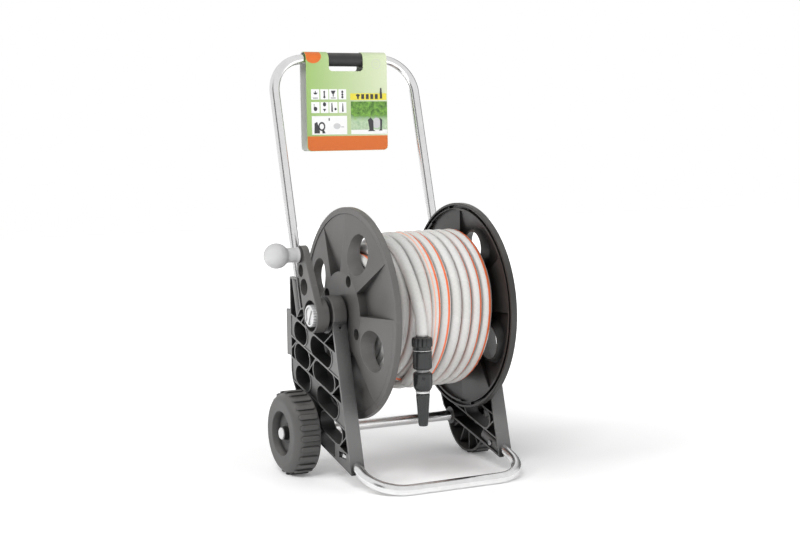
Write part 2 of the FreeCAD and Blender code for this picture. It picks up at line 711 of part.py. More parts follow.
def left_shaft():
    """The driven journal: a disc inside the flange, the journal and a square end for the crank."""
    journal, square = size("journal_radius"), size("square")
    disc0, disc1 = size("drum_end"), size("plateau") - size("flange_wall")
    shoulder = size("crank_inner")
    end = shoulder + 9.0
    shaft = rod(disc0 - size("drum_wall"), disc1, size("bore_radius") + 4.0)
    shaft = shaft.fuse([rod(disc0, disc1, size("shaft_disc")), rod(disc1, shoulder, journal),
                        Part.makeBox(end - shoulder, square, square, V(shoulder, -square / 2, -square / 2))])
    shaft = shaft.cut(rod(shoulder - 16.0, end + 1, size("bore_radius") - 1.0)).removeSplitter()
    return shaft.mirror(V(), V(1, 0, 0))


def elbow():
    """The water way inside the drum: from the hollow journal's bore out to the drum's wall."""
    bore = size("bore_radius")
    x0, x1 = 60.0, size("drum_end") - size("drum_wall")
    along = rod(x0 - bore - 2.5, x1, bore + 2.5)
    down = upright(x0, 0, -size("drum_radius") + 1.5, 0, bore + 1.5)
    solid = along.fuse(down).cut([rod(x0 - 1, x1 + 1, bore - 1.0),
                                  upright(x0, 0, -size("drum_radius") - 1, 0, bore - 1.5)])
    return solid.removeSplitter()


# ---- crank -------------------------------------------------------------------------------------------


def arm_outline(grow):
    """The crank arm's outline: two circles and their tangents, as a face at x = 0."""
    big, small = size("crank_hub") + grow, size("crank_tip") + grow
    y, z = size("crank_y") - 2.0, size("crank_z") - 1.0
    gap = math.hypot(y, z)
    turn = math.acos((big - small) / gap)
    along = math.atan2(z, y)
    corners = []
    for side in (1, -1):
        a = along + side * turn
        ray = V(0, math.cos(a), math.sin(a))
        corners.append((ray * big, V(0, y, z) + ray * small))
    (a0, a1), (b0, b1) = corners
    far = V(0, math.cos(along), math.sin(along))
    edges = [Part.LineSegment(a0, a1).toShape(), Part.Arc(a1, V(0, y, z) + far * small, b1).toShape(),
             Part.LineSegment(b1, b0).toShape(), Part.Arc(b0, far * -big, a0).toShape()]
    return Part.Face(Part.Wire(edges))


def pushed(face, x0, x1):
    solid = face.extrude(V(x1 - x0, 0, 0))
    return solid.translate(V(x0, 0, 0))


def crank_arm():
    x0, x1, wall = size("crank_inner"), size("crank_outer"), size("crank_wall")
    back, step = size("arm_inner"), size("well_step")
    pin, knob = size("pin_radius"), (size("crank_y"), size("crank_z"))
    arm = pushed(arm_outline(0), back, x1)
    arm = arm.makeFillet(1.2, [e for e in arm.Edges if abs(e.BoundBox.XMin - x1) < 0.01])
    hollow = pushed(arm_outline(-wall), x0, x1 - wall)
    hub = rod(x0, x1, size("crank_hub"))
    boss = rod(back, x1 + 2.5, size("neck_radius") + 1.0, *knob)
    collars = [rod(back, x1 - 1, 15.0, 22.0, 41.0), oval((32.5, 65.0), 25.0, 22.0, 90.0, back, x1 - 1)]
    holes = [rod(x0 - 1, x1 + 9, 12.6, 22.0, 41.0), oval((32.5, 64.5), 19.0, 16.6, 90.0, x0 - 1, x1 + 9)]
    arm = arm.cut(hollow).fuse([hub, boss.common(pushed(arm_outline(0), x0, x1 + 9))])
    arm = arm.fuse([c.common(pushed(arm_outline(0), x0, x1 - 0.5)) for c in collars])
    seat = size("square")
    socket_cut = Part.makeBox(9.0 + 1.0, seat, seat, V(x0 - 1, -seat / 2, -seat / 2))
    well = rod(x0 + step, x1 + 1, size("hub_well"))
    stem = rod(x0, x1, size("bore_radius") - 1.0)
    hub_core = rod(x0, x0 + step, size("crank_hub") - 1.0)
    holes[0] = holes[0].cut(rod(x0 - 2, x1 + 10, size("crank_hub")))
    arm = arm.cut(holes).fuse(hub_core).cut([socket_cut, well, stem, rod(x0, x1 + 9, pin, *knob)])
    return arm.removeSplitter().mirror(V(), V(1, 0, 0))


def lock_knob():
    """The fluted knob that screws the crank to the shaft."""
    radius, outer = size("lock_radius"), size("lock_outer")
    inner = size("crank_inner") + size("well_step")
    head = rod(inner, outer, radius)
    head = head.makeFillet(1.2, [e for e in head.Edges if is_ring(e, outer)])
    flute = rod(inner - 1, outer + 1, 1.6, radius + 0.4)
    head = head.cut(copies(flute, 2 * FLUTES))
    # a pocket each side of a finger bar
    bar = Part.makeBox(4.0, 2 * radius, 4.6, V(outer - 2.0, -radius, -2.3))
    pocket = rod(outer - 1.6, outer + 1.0, radius - 3.4).cut(bar)
    pocket.rotate(V(), V(1, 0, 0), -62.0)
    stem = rod(inner - 24.0, inner, size("bore_radius") - 1.0)
    return head.cut(pocket).fuse(stem).removeSplitter().mirror(V(), V(1, 0, 0))


def make_crank():
    shaped("crank_arm", crank_arm())
    shaped("crank_lock_knob", lock_knob())
    place = ("crank_y", "crank_z")
    turned("crank_knob_pin", [
        ("-knob_centre - 8", "0"), ("-arm_inner + 2", "0"), ("-arm_inner + 2", "pin_radius + 2.5"),
        ("-arm_inner", "pin_radius + 2.5"), ("-arm_inner", "pin_radius"),
        ("-knob_centre - 8", "pin_radius")], *place)
    shaped("crank_knob", crank_knob(), *place)


def crank_knob():
    centre, ball, neck = size("knob_centre"), size("knob_radius"), size("neck_radius")
    start = size("crank_outer") + 2.5 + size("end_gap")
    knob = Part.makeSphere(ball, V(centre, 0, 0)).fuse(rod(start, centre, neck)).removeSplitter()
    meet = centre - math.sqrt(ball ** 2 - neck ** 2)
    knob = rounded(knob, meet, neck, size("neck_fillet"))
    knob = knob.fuse(Part.makeCone(neck + 1.0, neck, 4.0, V(start, 0, 0), V(1, 0, 0))).removeSplitter()
    parting = centre - size("parting")
    line = Part.makeTorus(math.sqrt(ball ** 2 - size("parting") ** 2), 0.45, V(parting, 0, 0), V(1, 0, 0))
    knob = knob.cut(line)
    hole = rod(start - 1, centre + 8.0 + size("end_gap"), size("pin_radius") + size("running_gap"))
    return knob.cut(hole).mirror(V(), V(1, 0, 0))


# ---- water inlet -------------------------------------------------------------------------------------


def make_inlet():
    """A swivelling spigot in the hollow right journal, with two sealing rings and a clip."""
    fit = "bore_radius + 0.5 - running_gap"
    turned("water_inlet", [
        ("frame_inner", "bore_radius - 2"), ("inlet_reach", "bore_radius - 2"),
        ("inlet_reach", "spigot_radius - 1"), ("inlet_reach - 1", "spigot_radius"),
        ("inlet_reach - 7", "spigot_radius"), ("inlet_reach - 8", "spigot_radius - 1.6"),
        ("inlet_reach - 11", "spigot_radius - 1.6"), ("inlet_reach - 12", "spigot_radius"),
        ("inlet_reach - 20", "spigot_radius"), ("inlet_reach - 20", "journal_radius - 3"),
        ("frame_outer + 2 + end_gap", "journal_radius - 3"), ("frame_outer + 2 + end_gap", fit),
        ("frame_inner + 12", fit), ("frame_inner + 12", "bore_radius - 1"),
        ("frame_inner + 9", "bore_radius - 1"), ("frame_inner + 9", fit),
        ("frame_inner + 6", fit), ("frame_inner + 6", "bore_radius - 1"),
        ("frame_inner + 3", "bore_radius - 1"), ("frame_inner + 3", fit), ("frame_inner", fit)])
    rings = [Part.makeTorus(size("bore_radius") - 1 + 0.72, 0.7, V(size("frame_inner") + at, 0, 0), V(1, 0, 0))
             for at in (4.5, 10.5)]
    shaped("inlet_seals", Part.makeCompound(rings))


# ---- hose end ----------------------------------------------------------------------------------------


def tail_points():
    x = size("lane_x")
    ring = []
    for angle in TAIL_ANGLES:
        a = math.radians(angle)
        ring.append(V(x, -TAIL_RING * math.sin(a), TAIL_RING * math.cos(a)))
    return ring + [V(x, y, z) for y, z in TAIL_DROP]


def make_hose_end():
    points = tail_points()
    bends = route_bends(points)
    tail = tube_along(points, size("hose_radius"), bends)
    print("hose tail bend radii", [round(b, 1) for b in bends])
    shaped("hose_tail", tail)
    hanging("connector_nut", [
        ("0", "0"), ("nut_length", "0"), ("nut_length", "nut_radius - 1.2"), ("14.5", "nut_radius - 1.2"),
        ("13.5", "nut_radius"), ("2", "nut_radius"), ("0", "nut_radius - 2")])
    hanging("connector_body", [
        ("nut_length", "0"), ("body_end", "0"), ("body_end", "nut_radius - 3"),
        ("body_end - 2", "nut_radius - 1.6"), ("nut_length + 3", "nut_radius - 1.6"),
        ("nut_length", "nut_radius - 3")])
    hanging("connector_neck", [
        ("body_end", "0"), ("74", "0"), ("74", "neck_slide"), ("body_end", "neck_slide")])
    hanging("connector_collar", [
        ("body_end + collar_travel + end_gap", "neck_slide + 0.3"), ("collar_end", "neck_slide + 0.3"),
        ("collar_end", "nut_radius - 4"), ("collar_end - 5", "nut_radius - 1.2"),
        ("body_end + collar_travel + 4", "nut_radius - 1.2"),
        ("body_end + collar_travel + end_gap", "nut_radius - 2.6")])
    hanging("nozzle_body", [
        ("74", "0"), ("spigot_end", "0"), ("spigot_end", "tip_spigot"), ("tip_start - end_gap", "tip_spigot"),
        ("tip_start - end_gap", "ring_radius"), ("ring_start", "ring_radius"), ("ring_start", "neck_slide"),
        ("74", "neck_slide")])
    hanging("nozzle_tip", [
        ("tip_start", "tip_spigot + running_gap"), ("spigot_end + end_gap", "tip_spigot + running_gap"),
        ("spigot_end + end_gap", "2.5"), ("tip_end", "2.5"), ("tip_end", "5.6"), ("tip_end - 1.6", "6.9"),
        ("tip_start + 1.5", "10.2"), ("tip_start", "9.2")])


# ---- grip and card -----------------------------------------------------------------------------------


def grip():
    """A sleeve over the middle of the handle's top bar, with shallow finger rings at its ends."""
    half, radius = size("grip_length") / 2, size("grip_radius")
    sleeve = rod(-half, half, radius)
    sleeve = sleeve.makeFillet(2.0, [e for e in sleeve.Edges if is_ring(e, half) or is_ring(e, -half)])
    grooves = [spun([(x - 0.8, radius - 0.7), (x + 0.8, radius - 0.7), (x + 0.8, radius + 1), (x - 0.8, radius + 1)])
               for x in (6.0 - half, 10.0 - half, half - 10.0, half - 6.0)]
    return sleeve.cut(grooves + [rod(-half - 1, half + 1, size("tube_radius"))])


def card():
    """A card folded over the grip, hanging down in front and behind, with a window over the grip."""
    left, right, thick = size("card_left"), size("card_right"), size("card_thick")
    fold, drop = size("grip_radius") + size("card_gap"), size("card_drop")
    outer = Part.makeBox(right - left, 2 * (fold + thick), drop, V(left, -fold - thick, -drop))
    inner = Part.makeBox(right - left, 2 * fold, drop + 1, V(left, -fold, -drop - 1))
    outer = outer.fuse(rod(left, right, fold + thick)).removeSplitter()
    sheet_card = outer.cut([inner, rod(left - 1, right + 1, fold)])
    corners = [e for e in sheet_card.Edges if e.BoundBox.ZMax < 1 - drop and e.BoundBox.XLength < 0.01
               and e.BoundBox.YLength < 2]
    sheet_card = sheet_card.makeFillet(7.0, corners)
    low = size("window_drop")
    window = Part.makeBox(size("window_right") - size("window_left"), 4 * fold, low + 2 * fold,
                          V(size("window_left"), -2 * fold, -low))
    window = window.makeFillet(size("window_corner"), [e for e in window.Edges if e.BoundBox.YLength > 3 * fold])
    return sheet_card.cut(window)


def make_handle_trim():
    place = ("handle_top_y", "handle_top_z")
    shaped("handle_grip", grip(), *place)
    shaped("header_card", card(), *place)


# ---- checks and files --------------------------------------------------------------------------------


def check():
    doc.recompute()
    for item in doc.Objects:
        if "Invalid" in item.State or "Error" in item.State:
            raise ValueError(f"{item.Label} failed: {item.State}")
    for node in nodes:
        if node.Shape.isNull() or not node.Shape.isValid() or not node.Shape.Solids:
            raise ValueError(f"{node.Label} has no valid solid")


def write():
    os.makedirs("parts", exist_ok=True)
    for node in nodes:
        node.Shape.exportStep(f"parts/{node.Label}.step")


make_tubes()
make_side_frames()
make_wheels()
make_reel()
make_crank()
make_inlet()
make_hose_end()
make_handle_trim()
check()
write()
print(len(nodes), "nodes")
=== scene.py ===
import json
import math
import random

import bmesh
import bpy
from mathutils import Matrix, Vector


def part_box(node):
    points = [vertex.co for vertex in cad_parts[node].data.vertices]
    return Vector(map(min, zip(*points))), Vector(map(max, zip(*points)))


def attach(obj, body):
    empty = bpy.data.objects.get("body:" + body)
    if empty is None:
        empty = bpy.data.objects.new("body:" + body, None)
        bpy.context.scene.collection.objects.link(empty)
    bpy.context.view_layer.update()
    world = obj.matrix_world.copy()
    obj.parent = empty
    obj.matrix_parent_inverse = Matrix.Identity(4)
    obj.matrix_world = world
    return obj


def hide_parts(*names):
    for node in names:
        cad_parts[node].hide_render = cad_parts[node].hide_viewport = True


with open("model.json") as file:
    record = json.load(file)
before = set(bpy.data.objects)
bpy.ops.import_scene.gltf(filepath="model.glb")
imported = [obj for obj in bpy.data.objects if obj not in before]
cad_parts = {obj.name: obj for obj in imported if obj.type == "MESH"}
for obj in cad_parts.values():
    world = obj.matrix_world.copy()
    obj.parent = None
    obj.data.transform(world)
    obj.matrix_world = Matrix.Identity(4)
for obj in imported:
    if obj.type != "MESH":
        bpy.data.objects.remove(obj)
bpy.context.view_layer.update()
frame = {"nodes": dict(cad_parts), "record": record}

JOINTS = {j["name"]: j for j in frame["record"]["behaviour"]["joints"]}
AXIS = Vector(JOINTS["reel_spin"]["pos_m"])
MM = 0.001

# header card: its left edge, width, fold about the handle's bar, and drop, in millimetres
CARD_LEFT, CARD_WIDE = -68.6, 144.2
BAR_Y, BAR_Z = 216.2, 386.3
FOLD = 12.2
CARD_DROP = 159.2


def at(x, y, z):
    """A point given in millimetres from the reel's axis, in the cart's frame in metres."""
    return AXIS + Vector((x, y, z)) * MM


# ---- camera and light --------------------------------------------------------------------------------

# dark screens in the pale walls: the way round from +X to each middle, and half the width, in radians;
# then the sine of the rise or fall at which they end, and below which they are solid
DARK_SCREENS = ((-2.68, 0.3), (0.55, 0.5))
SCREEN_TOP, SCREEN_SOLID = 0.75, 0.5
WALL_WHITE = (0.5, 0.5, 0.5, 1.0)
MIRRORED_WHITE = (0.88, 0.88, 0.88, 1.0)
SCREEN_GREY = (0.16, 0.16, 0.16, 1.0)
WHITE = (1.0, 1.0, 1.0, 1.0)
# the lamps' height as a share of their width, and the point they are turned to, in metres
LAMP_SHAPE = 0.7
LIGHTS_AIM = (0, 0, 0.3)
# each light's place and width in metres, and its power in watts
LIGHTS = (
    ("key_light", (-1.8, -2.2, 2.6), 1.3, 60.0),
    ("side_light", (-2.4, -0.4, 1.9), 1.2, 34.0),
    ("fill_light", (1.6, -2.6, 1.4), 1.6, 16.0),
)

# the camera's place from the reel's axis and its lens in millimetres, and its turns in radians
CAMERA_PLACE = (-1077.6, -2070.9, 262.3)
CAMERA_YAW, CAMERA_PITCH, CAMERA_ROLL = 0.4757, -0.0844, -0.0157
CAMERA_LENS = 69.63
CAMERA_SENSOR = 36.0
VIEW_END = 50.0

# half the floor's side and where its glow starts and stops growing, in metres, and the glow at both
FLOOR_HALF = 6.0
GLOW_FROM, GLOW_TO = 0.25, 1.6
GLOW_NEAR, GLOW_FAR = 0.12, 0.9
FLOOR_WHITE = (0.96, 0.96, 0.96, 1.0)


def make_camera():
    data = bpy.data.cameras.new("camera")
    data.sensor_width = CAMERA_SENSOR
    data.lens = CAMERA_LENS
    data.clip_end = VIEW_END
    camera = bpy.data.objects.new("camera", data)
    bpy.context.collection.objects.link(camera)
    level = math.cos(CAMERA_PITCH)
    ahead = Vector((level * math.sin(CAMERA_YAW), level * math.cos(CAMERA_YAW), math.sin(CAMERA_PITCH)))
    right = Vector((math.cos(CAMERA_YAW), -math.sin(CAMERA_YAW), 0.0))
    up = right.cross(ahead)
    rolled_right = math.cos(CAMERA_ROLL) * right + math.sin(CAMERA_ROLL) * up
    rolled_up = math.cos(CAMERA_ROLL) * up - math.sin(CAMERA_ROLL) * right
    turn = Matrix((rolled_right, rolled_up, -ahead)).transposed().to_4x4()
    camera.matrix_world = Matrix.Translation(at(*CAMERA_PLACE)) @ turn
    bpy.context.scene.camera = camera


def area_light(name, place, width, power):
    """A soft lamp turned to the cart, left out of what polished parts mirror."""
    data = bpy.data.lights.new(name, "AREA")
    data.shape = "RECTANGLE"
    data.size = width
    data.size_y = width * LAMP_SHAPE
    data.energy = power
    lamp = bpy.data.objects.new(name, data)
    bpy.context.collection.objects.link(lamp)
    lamp.location = place
    lamp.visible_glossy = False
    lamp.rotation_mode = "QUATERNION"
    lamp.rotation_quaternion = (Vector(LIGHTS_AIM) - Vector(place)).to_track_quat("-Z", "Y")


def make_studio_walls():
    """Pale walls with two dark screens, which draw the dark lines along polished tubes."""
    world = bpy.data.worlds.new("studio")
    bpy.context.scene.world = world
    world.use_nodes = True
    graph = Graph(world.node_tree)
    back = world.node_tree.nodes["Background"]
    parts = graph.split(graph.place("Generated"))
    around = graph.math("ARCTAN2", parts["Y"], parts["X"])
    screens = []
    for middle, half in DARK_SCREENS:
        away = graph.math("ABSOLUTE", graph.math("SUBTRACT", around, middle))
        screens.append(graph.ramp(away, half, half * 0.6))
    low = graph.ramp(graph.math("ABSOLUTE", parts["Z"]), SCREEN_TOP, SCREEN_SOLID)
    dark = graph.math("MULTIPLY", graph.math("MAXIMUM", *screens), low)
    ray = graph.node("ShaderNodeLightPath")
    lit = graph.mix(ray.outputs["Is Glossy Ray"], WALL_WHITE, MIRRORED_WHITE)
    walls = graph.mix(dark, lit, SCREEN_GREY)
    graph.feed(back.inputs["Color"], graph.mix(ray.outputs["Is Camera Ray"], walls, WHITE))
    back.inputs["Strength"].default_value = 1.0


def make_light():
    make_studio_walls()
    for light in LIGHTS:
        area_light(*light)
    bpy.context.scene.view_settings.view_transform = "Standard"


def make_floor():
    """A pale floor which brightens with distance until it meets the pale wall."""
    mesh = bpy.data.meshes.new("floor")
    corners = [(x * FLOOR_HALF, y * FLOOR_HALF, 0) for x, y in ((-1, -1), (1, -1), (1, 1), (-1, 1))]
    mesh.from_pydata(corners, [], [(0, 1, 2, 3)])
    floor = bpy.data.objects.new("floor", mesh)
    bpy.context.collection.objects.link(floor)
    paint = bpy.data.materials.new("floor_paint")
    paint.use_nodes = True
    graph = Graph(paint.node_tree)
    shader = paint.node_tree.nodes["Principled BSDF"]
    shader.inputs["Base Color"].default_value = FLOOR_WHITE
    shader.inputs["Roughness"].default_value = 0.6
    shader.inputs["Emission Color"].default_value = WHITE
    away = graph.node("ShaderNodeVectorMath", operation="LENGTH")
    graph.feed(away.inputs[0], graph.place())
    glow = graph.ramp(away.outputs["Value"], GLOW_FROM, GLOW_TO, GLOW_NEAR, GLOW_FAR)
    graph.feed(shader.inputs["Emission Strength"], glow)
    mesh.materials.append(paint)


# ---- node groups -------------------------------------------------------------------------------------


class Graph:
    """Adds nodes to a material's or a group's tree with short calls."""

    def __init__(self, tree):
        self.tree = tree

    def node(self, kind, **settings):
        made = self.tree.nodes.new(kind)
        for key, setting in settings.items():
            setattr(made, key, setting)
        return made

    def feed(self, socket, source):
        if isinstance(source, (int, float, tuple)):
            socket.default_value = source
        else:
            self.tree.links.new(source, socket)

    def math(self, operation, *sources):
        made = self.node("ShaderNodeMath", operation=operation)
        for socket, source in zip(made.inputs, sources):
            self.feed(socket, source)
        return made.outputs[0]

    def place(self, kind="Object"):
        """The shaded point's place in its piece's own frame, which moves with the piece."""
        return self.node("ShaderNodeTexCoord").outputs[kind]

    def split(self, vector):
        made = self.node("ShaderNodeSeparateXYZ")
        self.feed(made.inputs[0], vector)
        return made.outputs

    def noise(self, scale, detail=2.0, vector=None, rough=0.5):
        made = self.node("ShaderNodeTexNoise")
        made.inputs["Detail"].default_value = detail
        made.inputs["Roughness"].default_value = rough
        self.feed(made.inputs["Scale"], scale)
        if vector is not None:
            self.feed(made.inputs["Vector"], vector)
        return made.outputs["Fac"]

    def ramp(self, value, low, high, to_low=0.0, to_high=1.0):
        """Turns the way from low to high into the way from to_low to to_high, held at both ends."""
        made = self.node("ShaderNodeMapRange")
        for name, source in (("Value", value), ("From Min", low), ("From Max", high),
                             ("To Min", to_low), ("To Max", to_high)):
            self.feed(made.inputs[name], source)
        return made.outputs["Result"]

    def mix(self, share, first, second):
        made = self.node("ShaderNodeMix", data_type="RGBA")
        self.feed(made.inputs[0], share)
        self.feed(made.inputs[6], first)
        self.feed(made.inputs[7], second)
        return made.outputs[2]

    def bump(self, height, strength, distance, normal=None):
        made = self.node("ShaderNodeBump")
        made.inputs["Strength"].default_value = strength
        made.inputs["Distance"].default_value = distance
        self.feed(made.inputs["Height"], height)
        if normal is not None:
            self.feed(made.inputs["Normal"], normal)
        return made.outputs["Normal"]


def new_group(name, inputs, outputs):
    """A shader node group with named sockets: inputs {name: (kind, default)}, outputs {name: kind}."""
    group = bpy.data.node_groups.new(name, "ShaderNodeTree")
    for key, (kind, default) in inputs.items():
        socket = group.interface.new_socket(key, in_out="INPUT", socket_type=kind)
        socket.default_value = default
    for key, kind in outputs.items():
        group.interface.new_socket(key, in_out="OUTPUT", socket_type=kind)
    graph = Graph(group)
    return group, graph, graph.node("NodeGroupInput"), graph.node("NodeGroupOutput")


VALUE, VECTOR = "NodeSocketFloat", "NodeSocketVector"


def make_worn_edges():
    """Softly rounded edges, and a mask of where handling has polished them."""
    group, graph, given, out = new_group(
        "worn_edges", {"Radius": (VALUE, 0.0008), "Patchiness": (VALUE, 60.0)},
        {"Normal": VECTOR, "Mask": VALUE})
    soft = graph.node("ShaderNodeBevel", samples=4)
    graph.feed(soft.inputs["Radius"], given.outputs["Radius"])
    face = graph.node("ShaderNodeNewGeometry")
    dot = graph.node("ShaderNodeVectorMath", operation="DOT_PRODUCT")
    graph.feed(dot.inputs[0], soft.outputs["Normal"])
    graph.feed(dot.inputs[1], face.outputs["True Normal"])
    edge = graph.ramp(dot.outputs["Value"], 0.99, 0.75)
    place = graph.place()
    patches = graph.ramp(graph.noise(given.outputs["Patchiness"], 3.0, place), 0.35, 0.62)
    graph.feed(out.inputs["Mask"], graph.math("MULTIPLY", edge, patches))
    graph.feed(out.inputs["Normal"], soft.outputs["Normal"])
    return group


def make_moulded_skin():
    """Fine spark-eroded grain, broad uneven gloss and faint scuffs of moulded plastic."""
    group, graph, given, out = new_group(
        "moulded_skin", {"Grain": (VALUE, 1400.0)},
        {"Height": VALUE, "Cloud": VALUE, "Scuff": VALUE})
    place = graph.place()
    grain = graph.noise(given.outputs["Grain"], 2.0, place)
    graph.feed(out.inputs["Height"], grain)
    graph.feed(out.inputs["Cloud"], graph.noise(18.0, 4.0, place, 0.6))
    stretched = graph.node("ShaderNodeMapping")
    graph.feed(stretched.inputs["Vector"], place)
    stretched.inputs["Rotation"].default_value = (0.5, 0.9, 0.3)
    stretched.inputs["Scale"].default_value = (40.0, 420.0, 420.0)
    scratch = graph.noise(1.0, 3.0, stretched.outputs["Vector"], 0.7)
    graph.feed(out.inputs["Scuff"], graph.ramp(scratch, 0.66, 0.74))
    return group


def make_settled_dust():
    """A thin film of dust on what faces up, broken up by noise."""
    group, graph, given, out = new_group("settled_dust", {"Amount": (VALUE, 0.1)}, {"Mask": VALUE})
    face = graph.node("ShaderNodeNewGeometry")
    up = graph.ramp(graph.split(face.outputs["Normal"])["Z"], 0.35, 1.0)
    place = graph.place()
    patches = graph.ramp(graph.noise(34.0, 5.0, place, 0.65), 0.3, 0.7)
    film = graph.math("MULTIPLY", up, patches)
    graph.feed(out.inputs["Mask"], graph.math("MULTIPLY", film, given.outputs["Amount"]))
    return group


def make_drawn_metal():
    """Long drawing marks and small handling scratches of polished aluminium tube."""
    group, graph, given, out = new_group(
        "drawn_metal", {"Marks": (VALUE, 1.0)}, {"Height": VALUE, "Haze": VALUE})
    place = graph.place()
    long_marks = graph.node("ShaderNodeMapping")
    graph.feed(long_marks.inputs["Vector"], place)
    long_marks.inputs["Scale"].default_value = (900.0, 900.0, 26.0)
    marks = graph.noise(1.0, 2.0, long_marks.outputs["Vector"])
    graph.feed(out.inputs["Height"], graph.math("MULTIPLY", marks, given.outputs["Marks"]))
    graph.feed(out.inputs["Haze"], graph.noise(60.0, 5.0, place, 0.7))
    return group


def make_deep_shade():
    """A mask of the deep hollows that light hardly reaches, where the materials lay painted shade."""
    group, graph, given, out = new_group("deep_shade", {"Reach": (VALUE, 0.03)}, {"Mask": VALUE})
    cover = graph.node("ShaderNodeAmbientOcclusion", samples=6)
    graph.feed(cover.inputs["Distance"], given.outputs["Reach"])
    graph.feed(out.inputs["Mask"], graph.ramp(cover.outputs["AO"], 0.9, 0.6))
    return group


GROUPS = {
    "deep_shade": make_deep_shade(),
    "worn_edges": make_worn_edges(),
    "moulded_skin": make_moulded_skin(),
    "settled_dust": make_settled_dust(),
    "drawn_metal": make_drawn_metal(),
}


def place_group(graph, name, **values):
    made = graph.node("ShaderNodeGroup", node_tree=GROUPS[name])
    for key, setting in values.items():
        graph.feed(made.inputs[key], setting)
    return made.outputs


# ---- materials ---------------------------------------------------------------------------------------


DUST = (0.55, 0.52, 0.47, 1.0)
# how bright each effect's darker colour is, as a share of the piece's own; the third is the painted
# shade in deep hollows
UNEVEN, DULLED, PAINTED_SHADE, SPECKED = 0.86, 0.9, 0.05, 0.93
SCUFF_SHARE = 0.35


def new_material(name):
    """A material with only its Principled shader and output; returns the material, graph and shader."""
    material = bpy.data.materials.new(name)
    material.use_nodes = True
    return material, Graph(material.node_tree), material.node_tree.nodes["Principled BSDF"]


def grey(level, warm=1.0):
    return (level * warm, level, level / warm, 1.0)


def shaded(colour, share):
    """A colour taken down to a share of its brightness."""
    return tuple(c * share for c in colour[:3]) + (1.0,)


def moulded(name, colour, worn, roughness=0.5, grain=1400.0, edge=0.0007, bump=0.25, dust=0.12,
            shade=0.5, reach=0.03):
    """Moulded plastic: paler worn edges, grain, uneven gloss, scuffs, a little dust, painted shade in
    hollows.
    """
    material, graph, shader = new_material(name)
    edges = place_group(graph, "worn_edges", Radius=edge)
    skin = place_group(graph, "moulded_skin", Grain=grain)
    film = place_group(graph, "settled_dust", Amount=dust)
    cloud = graph.ramp(skin["Cloud"], 0.3, 0.7)
    body = graph.mix(cloud, shaded(colour, UNEVEN), colour)
    scuffed = graph.mix(graph.math("MULTIPLY", skin["Scuff"], SCUFF_SHARE), body, worn)
    rubbed = graph.mix(edges["Mask"], scuffed, worn)
    dusty = graph.mix(film["Mask"], rubbed, DUST)
    # painted shade: the colour darkens in deep hollows where little light reaches
    shade_in_hollows = place_group(graph, "deep_shade", Reach=reach)
    dark = graph.mix(graph.math("MULTIPLY", shade_in_hollows["Mask"], shade), dusty, shaded(colour, PAINTED_SHADE))
    graph.feed(shader.inputs["Base Color"], dark)
    gloss = graph.ramp(skin["Cloud"], 0.25, 0.75, roughness - 0.06, roughness + 0.08)
    graph.feed(shader.inputs["Roughness"], gloss)
    graph.feed(shader.inputs["Normal"], graph.bump(skin["Height"], bump, 0.0001, edges["Normal"]))
    return material


def bright_metal(name, colour, roughness):
    """Polished metal with drawing marks along it and a patchy haze."""
    material, graph, shader = new_material(name)
    edges = place_group(graph, "worn_edges", Radius=0.0004)
    drawn = place_group(graph, "drawn_metal")
    haze = graph.ramp(drawn["Haze"], 0.3, 0.7)
    graph.feed(shader.inputs["Base Color"], graph.mix(haze, colour, shaded(colour, DULLED)))
    shader.inputs["Metallic"].default_value = 1.0
    gloss = graph.ramp(drawn["Haze"], 0.3, 0.8, roughness, roughness + 0.12)
    graph.feed(shader.inputs["Roughness"], gloss)
    graph.feed(shader.inputs["Normal"], graph.bump(drawn["Height"], 0.15, 0.00008, edges["Normal"]))
    return material


# the hose's stripes: half the bold one's width, its soft edge and the thin one's middle, in radians
# round the hose, and how far along the hose the thin one starts to show, in metres
BOLD_STRIPE, STRIPE_EDGE = 0.29, 0.07
THIN_STRIPE = 0.86
THIN_STRIPE_FROM = 21.1
HOSE_DULL, HOSE_PALE = (0.53, 0.53, 0.505, 1.0), (0.60, 0.595, 0.585, 1.0)
HOSE_ORANGE = (0.80, 0.16, 0.05, 1.0)
HOSE_PINK = (0.85, 0.3, 0.16, 1.0)
THREAD_WHITE = (0.8, 0.8, 0.8, 1.0)
# painted shade laid where the hose's turns lie against each other
PAINTED_SEAM_SHADE = (0.12, 0.11, 0.11, 1.0)


